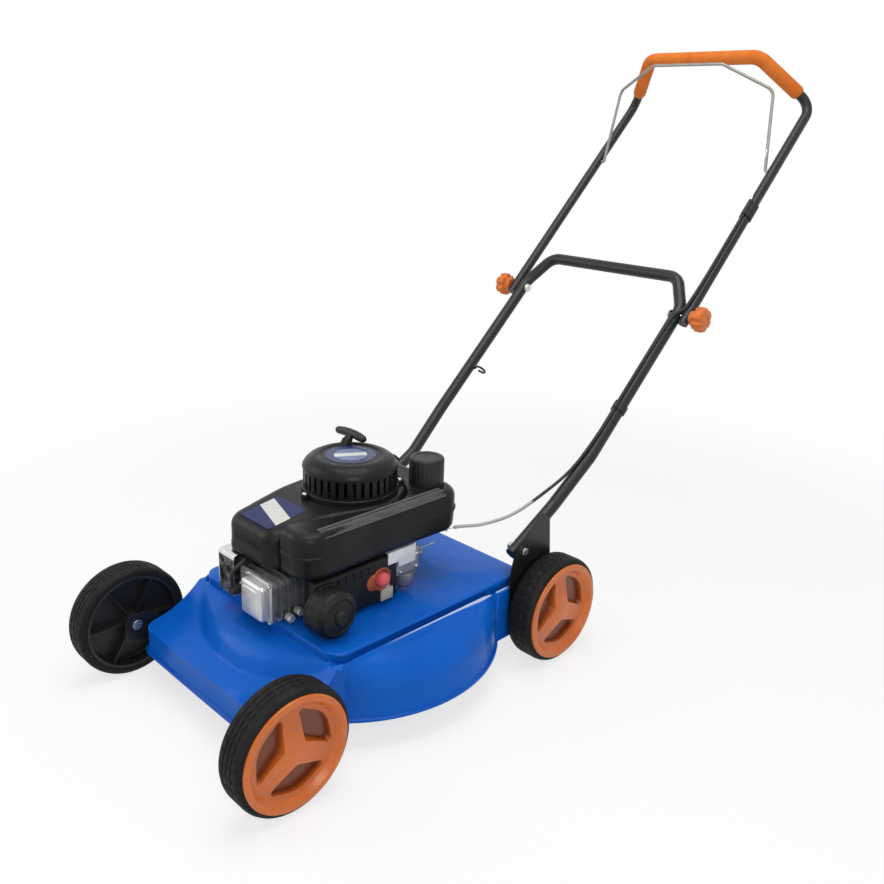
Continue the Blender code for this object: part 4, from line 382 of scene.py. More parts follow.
CRANK_Y = 0.284
SKIRT_RADIUS = 0.241
PANEL_Z = 0.15
PANEL_STEP = 0.014
DECK_WALL = 0.0025
SKIRT_TOP_Z = 0.083
SKIRT_BOTTOM_Z = 0.047
CHUTE_WALL_X = 0.23
SHELL_FRONT_Y = 0.006
SHELL_REAR_Y = 0.546
PANEL_FRONT_Y = 0.112
PANEL_REAR_Y = 0.512
SHELF_FRONT_Z = 0.09
SHELF_REAR_Z = 0.132
FILLET = 0.006
PANEL_EDGE = 0.003


def clamped(value):
    """The value, or the nearer of 0 and 1 if it lies outside them."""
    return min(max(value, 0.0), 1.0)


def quarter(steps):
    """Angles in even steps over a quarter turn."""
    return [radians(90 * k / steps) for k in range(steps + 1)]


def box_reach(dx, dy, half_width, front, rear, corner):
    """How far a rounded rectangle lies from the crank, in one direction."""
    edge_y = (rear if dy > 0 else front) - CRANK_Y
    by_side = half_width / abs(dx) if abs(dx) > 1e-9 else inf
    by_end = edge_y / dy if abs(dy) > 1e-9 else inf
    straight = min(by_side, by_end)
    centre = Vector((copysign(half_width - corner, dx), edge_y - copysign(corner, dy)))
    along = dx * centre.x + dy * centre.y
    sideways = dx * centre.y - dy * centre.x
    if abs(sideways) >= corner:
        return straight
    on_arc = along + sqrt(corner ** 2 - sideways ** 2)
    past = abs(dx * on_arc) > half_width - corner and abs(dy * on_arc) > abs(centre.y)
    return on_arc if past else straight


def panel_reach(dx, dy):
    return box_reach(dx, dy, 0.172, PANEL_FRONT_Y, PANEL_REAR_Y, 0.03)


def shell_reach(dx, dy):
    return box_reach(dx, dy, 0.18, SHELL_FRONT_Y, SHELL_REAR_Y, 0.026)


def bowl_reach(dx):
    return min(SKIRT_RADIUS, CHUTE_WALL_X / -dx) if dx < 0 else SKIRT_RADIUS


def skirt_reach(dx, dy):
    """The skirt follows whichever of the bowl and the boxed ends lies farther out."""
    return max(bowl_reach(dx), shell_reach(dx, dy))


def shelf_height(y):
    """The boxed ends rise gently from their outer edge to the foot of the panel."""
    foot = PANEL_Z - PANEL_STEP
    if y < CRANK_Y:
        rise = clamped((y - SHELL_FRONT_Y) / (PANEL_FRONT_Y - SHELL_FRONT_Y))
        return SHELF_FRONT_Z + (foot - SHELF_FRONT_Z) * rise ** 2.2
    rise = clamped((SHELL_REAR_Y - y) / (SHELL_REAR_Y - PANEL_REAR_Y))
    return SHELF_REAR_Z + (foot - SHELF_REAR_Z) * rise


def bowl_height(radius, inner, edge):
    """The bowl's roof falls in a curve from the panel's foot to the top of the skirt."""
    rise = clamped((radius - inner) / max(edge - inner, 0.001))
    return SKIRT_TOP_Z + (PANEL_Z - PANEL_STEP - SKIRT_TOP_Z) * sqrt(1 - rise ** 2.4)


def deck_height(dx, dy, radius):
    """The bowl and the shelf of the boxed ends, run together by a fillet."""
    bowl = bowl_height(radius, min(panel_reach(dx, dy), bowl_reach(dx) - 0.012), bowl_reach(dx))
    if shell_reach(dx, dy) < bowl_reach(dx):
        return bowl
    shelf = shelf_height(CRANK_Y + dy * radius)
    return 0.5 * (bowl + shelf + sqrt((bowl - shelf) ** 2 + FILLET ** 2)) - FILLET / 2


def deck_ring(reach, height):
    def rule(angle):
        dx, dy = cos(angle), sin(angle)
        radius = reach(dx, dy)
        return Vector((dx * radius, CRANK_Y + dy * radius, height(dx, dy, radius)))
    return rule


def beside_bowl(dx, dy):
    """1 along the panel's long sides, fading to 0 round its corners."""
    return clamped((abs(dx) * panel_reach(dx, dy) - 0.158) / 0.012)


deck_rules = [deck_ring(lambda dx, dy: 0.028, lambda dx, dy, r: PANEL_Z),
              deck_ring(lambda dx, dy: 0.09, lambda dx, dy, r: PANEL_Z)]
for bend in quarter(4):
    deck_rules.append(deck_ring(
        lambda dx, dy, b=bend: (panel_reach(dx, dy) - PANEL_EDGE
                                + (PANEL_EDGE + 0.002 * beside_bowl(dx, dy)) * sin(b)),
        lambda dx, dy, r, b=bend: PANEL_Z - PANEL_EDGE * (1 - cos(b))))
for grow, lift in ((-0.0016, 0.007), (-0.002, -0.005), (-0.0004, -0.008), (0.0024, -0.0085),
                   (0.0042, -0.006), (0.005, 0.0), (0.006, 0.003), (0.0074, 0.0042), (0.009, 0.0038),
                   (0.0106, 0.0018), (0.0124, 0.0002)):
    deck_rules.append(deck_ring(
        lambda dx, dy, g=grow: panel_reach(dx, dy) + (g if g > 0 else g * beside_bowl(dx, dy)),
        lambda dx, dy, r, v=lift: deck_height(dx, dy, r) + v * beside_bowl(dx, dy)))
for k in range(25):
    out = (k / 24) ** 0.85
    deck_rules.append(deck_ring(
        lambda dx, dy, s=out: panel_reach(dx, dy) + PANEL_STEP
        + max(skirt_reach(dx, dy) - panel_reach(dx, dy) - PANEL_STEP, 0.0) * s,
        deck_height))
for drop, grow in ((0.0035, 0.0), (0.002, 0.0012), (0.001, 0.0035), (0.0022, 0.005), (0.0, 0.005)):
    deck_rules.append(deck_ring(lambda dx, dy, g=grow: skirt_reach(dx, dy) + g,
                                lambda dx, dy, r, d=drop: SKIRT_BOTTOM_Z + DECK_WALL * 0.6 + d
                                if d else SKIRT_BOTTOM_Z))
pressing = lofted(deck_rules, 540)
pressing.faces.ensure_lookup_table()
if pressing.faces[0].normal.z < 0:
    bmesh.ops.reverse_faces(pressing, faces=pressing.faces)
pressing = modified(pressing, "SOLIDIFY", thickness=DECK_WALL, offset=-1.0, use_even_offset=False)
chute = block((-0.26, -0.18), (CRANK_Y - 0.07, CRANK_Y + 0.07), (SKIRT_BOTTOM_Z + 0.01, 0.104))
fit("deck_pressing", carved(pressing, chute), deck_paint, "chassis", "deck_shell", sharp=50.0)

rod_low, rod_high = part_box("door_hinge_rod")
hinge_x = (rod_low.x + rod_high.x) / 2
hinge_z = (rod_low.z + rod_high.z) / 2
for end, ear_y in (("front", CRANK_Y - 0.0791), ("rear", CRANK_Y + 0.0791)):
    ear = block((hinge_x - 0.006, -0.204), (ear_y - 0.0018, ear_y + 0.0018), (0.086, hinge_z + 0.006), 0.0012)
    fit("hinge_ear_" + end, ear, deck_paint, "chassis")


# Discharge door. A black moulded flap with stiffening ribs hangs on a zinc rod between the ears,
# and a torsion spring round the rod holds it shut over the opening.
black_plastic = Finish("black_moulding", "black_plastic", (0.011, 0.011, 0.012), specular=0.3,
                       drift=((0.019, 0.019, 0.021), 0.7, 18.0), rough=(0.36, 0.52, 120.0),
                       grain=(2600.0, 2.0, 0.00005, 0.55))
zinc = Finish("zinc_plate", "zinc", (0.62, 0.62, 0.6), metallic=1.0,
              drift=((0.52, 0.525, 0.5), 0.7, 120.0), rough=(0.22, 0.4, 400.0),
              grain=(1600.0, 2.0, 0.00003, 0.4))


def carry(node, finish, body, edge=0.0005, sharp=32.0):
    """Rounds the edges of a solid's own shape and gives it a finish."""
    bm = bmesh.new()
    bm.from_mesh(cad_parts[node].data)
    bmesh.ops.remove_doubles(bm, verts=bm.verts, dist=1e-6)
    bmesh.ops.dissolve_limit(bm, angle_limit=radians(0.5), verts=bm.verts, edges=bm.edges)
    bmesh.ops.translate(bm, verts=bm.verts, vec=(0, -AXLE_Y, 0))
    fit(node + "_finished", bm, finish, body, node, sharp=sharp, edge=edge)


carry("discharge_door", black_plastic, "chute_door", 0.0006)
carry("door_hinge_rod", zinc, "chassis", 0.0003)
carry("door_spring", zinc, "chassis", 0.0, 60.0)


# Wheel brackets and axle bolts. Pressed steel plates, powder coated black, stand off the deck's
# side walls, and a shoulder bolt through each is riveted over on its inner side.
black_paint = Finish("powder_coat", "black_paint", (0.008, 0.008, 0.009), specular=0.35,
                     drift=((0.014, 0.014, 0.015), 0.6, 25.0), rough=(0.28, 0.42, 180.0),
                     grain=(1500.0, 2.0, 0.00006, 0.6))
for side_name in ("left", "right"):
    carry("wheel_bracket_front_" + side_name, black_paint, "chassis", 0.0007)
    carry("handle_bracket_" + side_name, black_paint, "chassis", 0.0009)
    carry("handle_bolt_" + side_name, zinc, "chassis", 0.0006)
    for end in ("front_", "rear_"):
        carry("axle_bolt_" + end + side_name, zinc, "chassis")


# Wheels. A black moulded rim turns on a shoulder bolt and carries a hard rubber tyre. The bright
# orange cover is clipped into it: three spokes round deep pockets, with a raised outer lip.
tyre_rubber = Finish("tyre_rubber", "tyre_rubber", (0.004, 0.004, 0.0042), specular=0.18,
                     drift=((0.011, 0.0107, 0.0105), 0.7, 22.0), rough=(0.52, 0.74, 140.0),
                     grain=(800.0, 3.0, 0.00012, 0.6))
orange_plastic = Finish("orange_moulding", "orange_plastic", (0.56, 0.118, 0.01), specular=0.4,
                        coat=(0.15, 0.2), drift=((0.64, 0.16, 0.02), 0.6, 20.0),
                        rough=(0.26, 0.4, 90.0), grain=(900.0, 2.0, 0.00004, 0.5))
reach_out = abs(orange_plastic.axis(0))
# Painted highlight: the outer face of the cover's raised lip is turned lighter orange.
orange_plastic.cover(orange_plastic.band(reach_out, 0.2418, 0.2431, 0.244, 0.2445) * 0.4, (0.86, 0.45, 0.2))
# Painted shade: the cover turns dark brown the deeper it lies below its outer face, down into the pockets.
orange_plastic.cover(1.0 - orange_plastic.between(reach_out, 0.2225, 0.2365), (0.12, 0.02, 0.003))

WHEEL_RADIUS = 0.09
RIM_RADIUS = 0.0775
HALF_WIDTH = 0.025
TYRE_STEPS = 216
POCKET_HALF_ANGLE = radians(50)


def lathe(profile, steps=64, centre=(0.0, 0.0, 0.0), axis="Z"):
    """Turns a closed outline of (radius, place along the axis) points into a round solid."""
    bm = bmesh.new()
    ring = [bm.verts.new((radius, 0.0, along)) for radius, along in profile]
    edges = [bm.edges.new((ring[i - 1], ring[i])) for i in range(len(ring))]
    bmesh.ops.spin(bm, geom=ring + edges, cent=(0, 0, 0), axis=(0, 0, 1), angle=2 * pi,
                   steps=steps, use_merge=True)
    bmesh.ops.remove_doubles(bm, verts=bm.verts, dist=1e-6)
    unused = [edge for edge in bm.edges if not edge.link_faces]
    bmesh.ops.delete(bm, geom=unused, context="EDGES")
    if axis == "X":
        bm.transform(Matrix.Rotation(pi / 2, 4, "Y"))
    if axis == "Y":
        bm.transform(Matrix.Rotation(-pi / 2, 4, "X"))
    bmesh.ops.translate(bm, verts=bm.verts, vec=centre)
    bmesh.ops.recalc_face_normals(bm, faces=bm.faces)
    return bm


def rounded_corner(before, corner, after, radius, steps):
    """Points of the arc that rounds one corner, in two or three dimensions."""
    back = (before - corner).normalized()
    ahead = (after - corner).normalized()
    half = back.angle(ahead) / 2
    if radius == 0 or pi / 2 - half < 1e-4:
        return [corner]
    reach = radius / tan(half)
    centre = corner + (back + ahead).normalized() * (radius / sin(half))
    start = corner + back * reach - centre
    end = corner + ahead * reach - centre
    sweep = start.angle(end)
    return [centre + (start * sin((1 - k / steps) * sweep) + end * sin(k / steps * sweep))
            / sin(sweep) for k in range(steps + 1)]


def outline(corners, radii, steps=6):
    """A closed outline whose corners are rounded by arcs of the given radii."""
    corners = [Vector(corner) for corner in corners]
    points = []
    for i, radius in enumerate(radii):
        after = corners[(i + 1) % len(corners)]
        points += rounded_corner(corners[i - 1], corners[i], after, radius, steps)
    return points


def window(middle, reach, apex, shrink):
    """One wheel pocket in plan: an outer arc and two spoke sides that meet near the hub."""
    half = POCKET_HALF_ANGLE - shrink / reach
    outer = reach - shrink
    corners = [(outer * cos(a), outer * sin(a)) for a in (middle - half, middle, middle + half)]
    tip = apex + shrink * 2.0
    corners.append((tip * cos(middle), tip * sin(middle)))
    return outline(corners, [0.005, 0.045, 0.005, 0.008])


for wheel, side, axle_y in (("front_left", 1, 0.0), ("front_right", -1, 0.0),
                            ("rear_left", 1, SHELL_REAR_Y), ("rear_right", -1, SHELL_REAR_Y)):
    body = "wheel_" + wheel
    low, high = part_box("tyre_" + wheel)
    centre = Vector(((low.x + high.x) / 2, axle_y, WHEEL_RADIUS))

    def turned(profile, steps=144):
        return lathe([(radius, side * along) for radius, along in profile], steps, centre, "X")

    face = HALF_WIDTH - 0.0035
    tread = [(RIM_RADIUS + 0.0003, -HALF_WIDTH + 0.0005), (0.08, -HALF_WIDTH),
             (0.085, -HALF_WIDTH + 0.0006), (0.088, -HALF_WIDTH + 0.003),
             (0.0894, -HALF_WIDTH + 0.0065), (WHEEL_RADIUS, -0.015)]
    for groove in (-0.0105, -0.002, 0.0065):
        tread += [(WHEEL_RADIUS, groove - 0.0016), (WHEEL_RADIUS - 0.0014, groove - 0.0008),
                  (WHEEL_RADIUS - 0.0014, groove + 0.0008), (WHEEL_RADIUS, groove + 0.0016)]
    tread += [(WHEEL_RADIUS, 0.011), (0.0894, 0.015), (0.0878, 0.019), (0.085, face - 0.0006),
              (0.082, face), (RIM_RADIUS + 0.0003, face)]
    tyre = turned(tread, TYRE_STEPS)
    for vert in tyre.verts:
        out = hypot(vert.co.y - centre.y, vert.co.z - centre.z)
        along = side * (vert.co.x - centre.x)
        step = round(atan2(vert.co.z - centre.z, vert.co.y - centre.y) / (2 * pi / TYRE_STEPS))
        if out > WHEEL_RADIUS - 0.0004 and step % 6 == 0 and abs(along) > 0.003:
            pull = (WHEEL_RADIUS - 0.0013) / out
            vert.co.y = centre.y + (vert.co.y - centre.y) * pull
            vert.co.z = centre.z + (vert.co.z - centre.z) * pull
    fit("tyre_tread_" + wheel, tyre, tyre_rubber, body, "tyre_" + wheel, sharp=42.0)

    rim_low, rim_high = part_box("rim_" + wheel)
    inboard = side * ((rim_low.x if side > 0 else rim_high.x) - centre.x)
    rim = turned([(0.0063, inboard), (0.0125, inboard), (0.0135, inboard + 0.001), (0.0155, -0.003),
                  (0.0705, -0.003), (0.072, -0.0045), (0.0722, -HALF_WIDTH + 0.002),
                  (0.073, -HALF_WIDTH + 0.0004), (0.0768, -HALF_WIDTH + 0.0004),
                  (RIM_RADIUS, -HALF_WIDTH + 0.001), (RIM_RADIUS, face - 0.0004), (0.0722, face - 0.0004),
                  (0.07, 0.003), (0.0135, 0.003), (0.0135, 0.01), (0.0063, 0.01)])
    ribs = []
    for k in range(6):
        rib_x = sorted((centre.x - side * 0.019, centre.x - side * 0.0028))
        rib = block(rib_x, (-0.0011, 0.0011), (0.013, 0.0722))
        rib.transform(Matrix.Translation((0, centre.y, centre.z))
                      @ Matrix.Rotation(radians(30 + 60 * k), 4, "X"))
        ribs.append(rib)
    fit("rim_moulding_" + wheel, carved(rim, gathered(*ribs), "UNION"), black_plastic, body,
        "rim_" + wheel)

    dish = HALF_WIDTH - 0.0075
    cover = turned([(0, 0.0045), (0.05, 0.0045), (0.065, 0.008), (0.0698, face - 0.0002),
                    (0.0815, face - 0.0002), (0.0815, face + 0.0016), (0.0806, HALF_WIDTH - 0.0004),
                    (0.079, HALF_WIDTH), (0.074, HALF_WIDTH), (0.0722, HALF_WIDTH - 0.0005),
                    (0.0655, dish - 0.0006), (0.062, dish - 0.0012), (0.04, dish - 0.0006),
                    (0.022, dish + 0.0014), (0.01, dish + 0.0032), (0.0, dish + 0.0038)])
    pockets = []
    for k in range(3):
        middle = radians(155 - 120 * k)
        depths = ((HALF_WIDTH + 0.004, -0.0013), (dish + 0.0014, 0.0), (0.008, 0.003))
        rings = [[Vector((centre.x + side * depth, *(centre.yz + point)))
                  for point in window(middle, 0.0645, 0.0185, shrink)] for depth, shrink in depths]
        pockets.append(lofted([through(ring) for ring in rings], len(rings[0]), capped=True))
    fit("spoke_cover_" + wheel, carved(cover, gathered(*pockets)), orange_plastic, body,
        "wheel_cover_" + wheel, sharp=30.0, edge=0.0008)


# Handle tubes. Two drawn steel tubes, each bent from one length and powder coated black: the
# lower one is bolted into the brackets, the upper one clamped outside it so that it can fold.
def swept(points, radius, sides=24):
    """A round rod along a run of points, with one radius or one for each point."""
    radii = radius if isinstance(radius, list) else [radius] * len(points)
    rules = []
    side = (points[1] - points[0]).orthogonal().normalized()
    for i, point in enumerate(points):
        along = (points[min(i + 1, len(points) - 1)] - points[max(i - 1, 0)]).normalized()
        side = (side - along * side.dot(along)).normalized()
        rules.append(lambda angle, p=point, s=side, o=along.cross(side), r=radii[i]:
                     p + (s * cos(angle) + o * sin(angle)) * r)
    return lofted(rules, sides, capped=True)


def bent(corners, radii, steps=10):
    """A path through corners, each but the first and last rounded by its bend radius."""
    points = [corners[0]]
    for i, radius in enumerate(radii):
        points += rounded_corner(corners[i], corners[i + 1], corners[i + 2], radius, steps)
    return points + [corners[-1]]


def mirrored(half):
    """A symmetric path from its left half."""
    return [Vector(point) for point in half] + [Vector((-x, y, z)) for x, y, z in reversed(half)]


LOWER_X, UPPER_X = 0.1815, 0.2025
LOWER_RADIUS, UPPER_RADIUS = 0.011, 0.0095
KNOB_Y, KNOB_Z = 0.9, 0.538
LOWER_BEND_Y, LOWER_BEND_Z = 0.668, 0.319
lower_path = bent(mirrored([(0.1725, 0.483, 0.1898), (0.1725, 0.585, 0.248),
                            (LOWER_X, LOWER_BEND_Y, LOWER_BEND_Z), (LOWER_X, 0.912, 0.5493),
                            (0.147, 0.95, 0.598)]),
                  [0.06, 0.08, 0.045, 0.032, 0.032, 0.045, 0.08, 0.06])
fit("lower_tube", swept(lower_path, LOWER_RADIUS), black_paint, "chassis", "lower_handle")

up_lower = Vector((0, KNOB_Y - LOWER_BEND_Y, KNOB_Z - LOWER_BEND_Z)).normalized()
up_upper = Vector((0, 1.283 - KNOB_Y, 0.9105 - KNOB_Z)).normalized()
knob_middle = Vector((UPPER_X, KNOB_Y, KNOB_Z))
upper_path = bent(mirrored([tuple(knob_middle - up_upper * 0.016), (UPPER_X, 1.283, 0.9105),
                            (0.122, 1.202, 0.998)]), [0.03] * 4)
fit("upper_tube", swept(upper_path, UPPER_RADIUS), black_paint, "folding_handle", "upper_handle")

guide_root = Vector((-LOWER_X, 0.745, LOWER_BEND_Z + (0.745 - LOWER_BEND_Y) * up_lower.z / up_lower.y))
eye = guide_root + Vector((LOWER_RADIUS + 0.02, 0, 0))
wire_up = Vector((0, -0.686, 0.727))
guide_path = [guide_root + Vector((LOWER_RADIUS - 0.003, 0, 0)), guide_root + Vector((0.0165, 0, 0))]
for k in range(30):
    turn = radians(150 - 300 * k / 29)
    guide_path.append(eye + (Vector((1, 0, 0)) * cos(turn) + wire_up * sin(turn)) * 0.01)
fit("rope_guide", swept(guide_path, 0.0022, 12), black_paint, "chassis")

orange_foam = Finish("orange_foam", "orange_foam", (0.64, 0.15, 0.018), specular=0.25,
                     drift=((0.74, 0.205, 0.03), 0.7, 30.0), rough=(0.66, 0.86, 300.0),
                     grain=(1400.0, 3.0, 0.00025, 0.7))
sleeve = upper_path[11:35]
grip_path = [sleeve[0].lerp(sleeve[1], share) for share in (0.06, 0.09, 0.14)] + sleeve[1:-1]
grip_path += [sleeve[-1].lerp(sleeve[-2], share) for share in (0.14, 0.09, 0.06)]
grip_radii = [0.0112, 0.0129] + [0.0135] * 24 + [0.0129, 0.0112]
foam_grip = fit("foam_sleeve", swept(grip_path, grip_radii, 40), orange_foam, "folding_handle",
                "handle_grip")


# Stop bail. One length of bright spring wire, its ends sprung into holes in the upper tubes.
# The operator holds it against the grip, and when it is let go the engine stops.
bail_pivot = Vector((0.187, 1.157, KNOB_Z + 0.257 * up_upper.z / up_upper.y))
bail_path = bent(mirrored([(0.1975, *bail_pivot.yz), tuple(bail_pivot), (0.172, 1.178, 0.936),
                           (0.077, 1.146, 0.983)]), [0.005, 0.02, 0.02, 0.02, 0.02, 0.005])
spring_wire = Finish("spring_wire", "black_paint", (0.3, 0.285, 0.265), metallic=0.75,
                     drift=((0.23, 0.215, 0.195), 0.7, 40.0), rough=(0.32, 0.5, 200.0))
fit("bail_wire", swept(bail_path, 0.003, 16), spring_wire, "bail_lever", "stop_bail")


# Clamp knobs. Six-lobed moulded knobs on carriage bolts pinch the two tubes together on each
# side. Their colour matches the wheel covers.
knob_plastic = Finish("knob_moulding", "orange_plastic", (0.6, 0.135, 0.013), specular=0.4,
                      drift=((0.69, 0.185, 0.026), 0.6, 60.0), rough=(0.28, 0.44, 150.0),
                      grain=(1200.0, 2.0, 0.00004, 0.5))


def lobed(bm, centre, axis, beyond, depth, count, power=1.0, low=-inf, high=inf):
    """Draws in the side of a turned shape, count times round its axis: 0 for X or 2 for Z."""
    first, second = (1, 2) if axis == 0 else (0, 1)
    for vert in bm.verts:
        a, b = vert.co[first] - centre[first], vert.co[second] - centre[second]
        if hypot(a, b) > beyond and low < vert.co[axis] < high:
            pull = 1 - depth * max(0.0, cos(count * atan2(b, a))) ** power
            vert.co[first], vert.co[second] = centre[first] + a * pull, centre[second] + b * pull


for side, side_name in ((1, "left"), (-1, "right")):
    inner = UPPER_X + UPPER_RADIUS + 0.0003
    outer = inner + 0.03
    shape = [(0.0043, inner), (0.013, inner), (0.014, inner + 0.008), (0.0215, inner + 0.0105),
             (0.0225, inner + 0.0125), (0.0225, outer - 0.0065), (0.0215, outer - 0.003),
             (0.0185, outer - 0.0008), (0.015, outer), (0.0095, outer), (0.0085, outer - 0.0015),
             (0, outer - 0.0015), (0, inner + 0.0205), (0.0043, inner + 0.0205)]
    knob_at = (0, KNOB_Y, KNOB_Z)
    knob = lathe([(radius, side * along) for radius, along in shape], 96, knob_at, "X")
    lobed(knob, knob_at, 0, 0.0145, 0.15, 6, 0.8)
    fit("clamp_knob_" + side_name, knob, knob_plastic, side_name + "_knob", "knob_" + side_name,
        sharp=34.0, edge=0.0004)
    carry("knob_bolt_" + side_name, zinc, "chassis", 0.0003)


# Brake cable. A sheathed wire runs from the engine's brake lever up both left tubes to a stop
# below the bail. Two moulded clips hold the sheath, and bare wire shows at each end.
def eased(points, spacing):
    """Points in even steps along a smooth curve through the given ones."""
    points = [Vector(point) for point in points]
    padded = [points[0] * 2 - points[1]] + points + [points[-1] * 2 - points[-2]]
    fine = []
    for a, b, c, d in zip(padded, padded[1:], padded[2:], padded[3:]):
        for t in (k / 24 for k in range(24)):
            fine.append(0.5 * (2 * b + (c - a) * t + (2 * a - 5 * b + 4 * c - d) * t * t
                               + (3 * b - a - 3 * c + d) * t ** 3))
    fine.append(points[-1])
    kept = [fine[0]]
    for point in fine[1:-1]:
        if (point - kept[-1]).length > spacing:
            kept.append(point)
    return kept + [fine[-1]]


def on_front(x, y, z, along, stand_off):
    """A place in front of a tube that runs along a direction."""
    return Vector((x, y, z)) + Vector((0, -along.z, along.y)) * stand_off


route = [(0.101, 0.42, 0.232), (0.106, 0.434, 0.2315), (0.122, 0.468, 0.231), (0.14, 0.52, 0.24),
         (0.16, 0.578, 0.271), (0.174, 0.632, 0.306)]
for share, shift in ((0.15, 0.0), (0.4, 0.0), (0.65, 0.0), (0.85, 0.002), (0.97, 0.0055)):
    route.append(on_front(LOWER_X + shift, LOWER_BEND_Y + share * (KNOB_Y - LOWER_BEND_Y),
                          LOWER_BEND_Z + share * (KNOB_Z - LOWER_BEND_Z), up_lower, 0.0141))
reach = 0.195 / up_upper.y
for share, shift, lift in ((0.02, 0.005, 0.0015), (0.12, 0.0015, 0.0005), (0.35, 0, 0), (0.7, 0, 0),
                           (1, 0, 0)):
    spot = knob_middle + up_upper * reach * share
    route.append(on_front(UPPER_X - shift, spot.y, spot.z, up_upper, 0.0126 + lift))
cable_sheath = Finish("cable_sheath", "cable_sheath", (0.016, 0.016, 0.017), specular=0.3,
                      drift=((0.028, 0.028, 0.03), 0.7, 30.0), rough=(0.38, 0.55, 200.0))
past_sleeve = cable_sheath.between(cable_sheath.axis(1), AXLE_Y + 0.55, AXLE_Y + 0.556)
cable_sheath.cover(1.0 - past_sleeve, (0.42, 0.415, 0.4))


def across_fold(name, points, radius, finish, start, end, nodes=(), sides=12):
    """A thin wire along the given points, on no body; start and end set nothing."""
    piece = fit(name, swept(points, radius, sides), finish, None, *nodes)
    here(*start)
    here(*end)
    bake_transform(piece)
    return piece


cable_points = eased(route, 0.003)
cable = across_fold("stop_cable", cable_points, 0.0028, cable_sheath,
                    knob_middle - up_upper * 0.012, knob_middle + up_upper * 0.02,
                    ("brake_cable_lower", "brake_cable_upper"))
cable_length = sum((b - a).length for a, b in zip(cable_points, cable_points[1:]))
here(*cable_points[0])
[here(*point) for point in cable_points]
stop_end = cable_points[-1]
bail_hook = Vector((0.1826, 1.1632, 0.8314))
wire_bends = eased([stop_end - up_upper * 0.004, stop_end.lerp(bail_hook, 0.5), bail_hook], 0.002)
across_fold("inner_wire_top", wire_bends, 0.0008, zinc, stop_end,
            bail_hook, (), 8)
cable_foot = cable_points[0]
eye_end = Vector((0.099, 0.405, 0.2325))
wire_bends = eased([cable_foot + Vector((0.001, 0.004, 0)), cable_foot.lerp(eye_end, 0.5), eye_end], 0.002)
across_fold("inner_wire_foot", wire_bends, 0.0008, zinc, cable_foot, eye_end,
            (), 8)
for name, middle, along, reach, body, radius in (
        ("lower_clip", Vector((LOWER_X, 0.7436, 0.3904)), up_lower, 0.007, "chassis", LOWER_RADIUS),
        ("upper_stop", Vector((UPPER_X, 1.083, KNOB_Z + 0.183 * up_upper.z / up_upper.y)), up_upper, 0.017,
         "folding_handle", UPPER_RADIUS)):
    out = Vector((0, -along.z, along.y))
    ends = [middle - along * reach, middle + along * reach]
    band = swept(ends, radius + 0.0022, 32)
    boss = swept([end + out * (radius + 0.0031) for end in ends], 0.0048, 20)
    fit(name, carved(band, boss, "UNION"), black_plastic, body, edge=0.0008)


# Engine castings. The crankcase, finned cylinder and carburettor are die-cast aluminium with a
# sandy skin. The pressed rocker cover on the front of the head is the brightest piece.
cast_alloy = Finish("cast_alloy", "cast_alloy", (0.3, 0.305, 0.31), metallic=0.7,
                    drift=((0.21, 0.213, 0.215), 0.7, 60.0), rough=(0.42, 0.62, 300.0),
                    grain=(1300.0, 4.0, 0.00015, 0.6))
carry("crankcase", cast_alloy, "chassis", 0.0008)
carry("cylinder", cast_alloy, "chassis", 0.0006)
pressed_alloy = Finish("pressed_alloy", "cast_alloy", (0.64, 0.645, 0.64), metallic=0.55,
                       drift=((0.52, 0.525, 0.525), 0.6, 40.0), rough=(0.28, 0.44, 120.0),
                       grain=(900.0, 2.0, 0.00005, 0.5))
head = gathered(block((-0.0125, 0.05), (0.0945, 0.0982), (0.1555, 0.2195), 0.0015),
                block((-0.0085, 0.046), (0.08, 0.095), (0.1595, 0.2155), 0.006, 4),
                block((-0.002, 0.0395), (0.0787, 0.086), (0.166, 0.209), 0.004, 4))
fit("rocker_pressing", head, pressed_alloy, "chassis", "rocker_cover")


def screw(name, place, axis, radius, depth, finish=zinc, hexagon=True):
    """A bolt head standing out from a place along an axis, six-sided or domed."""
    crown = [(radius, depth * 0.3), (radius * 0.8, depth * 0.8), (radius * 0.45, depth)]
    if hexagon:
        crown = [(radius, depth * 0.8), (radius * 0.85, depth)]
    shape = lathe([(0, -0.001), (radius, -0.001), *crown, (0, depth)], 6 if hexagon else 24)
    upright = Vector(axis).to_track_quat("Z", "Y").to_matrix().to_4x4()
    shape.transform(Matrix.Translation(place) @ upright)
    fit(name, shape, finish, "chassis", edge=0.0003)


for index, (x, z) in enumerate((x, z) for z in (0.158, 0.2168) for x in (-0.0105, 0.0478)):
    screw(f"head_screw_{index}", (x, 0.0945, z), (0, -1, 0), 0.0032, 0.003)
for index, (y, z) in enumerate(((0.1405, 0.163), (0.124, 0.158))):
    screw(f"cylinder_bolt_{index}", (0.05, y, z), (1, 0, 0), 0.0068, 0.011, pressed_alloy)
carry("spark_plug", zinc, "chassis", 0.0003)
carry("plug_lead", black_plastic, "chassis", 0.0006, 45.0)


# Blower housing. One glossy black moulding draws air over the cylinder: a drum round the
# flywheel run into a nose over the head, with soft edges and a printed label on the nose.
HOOD_BASE, HOOD_TOP = 0.238, 0.306
EDGE_BACK, EDGE_NOSE = 0.0085, 0.02
MOUTH_RADIUS = 0.068
HOOD_STEPS = 288
SLOPE_Y, SLOPE = 0.205, 0.15
NOSE_Y, NOSE_RADIUS = 0.126, 0.026


def hood_top(y):
    """The lid is level over the flywheel and slopes down gently to the nose."""
    lower = SLOPE_Y - y
    return HOOD_TOP - SLOPE * 0.5 * (lower + sqrt(lower * lower + 0.0002))


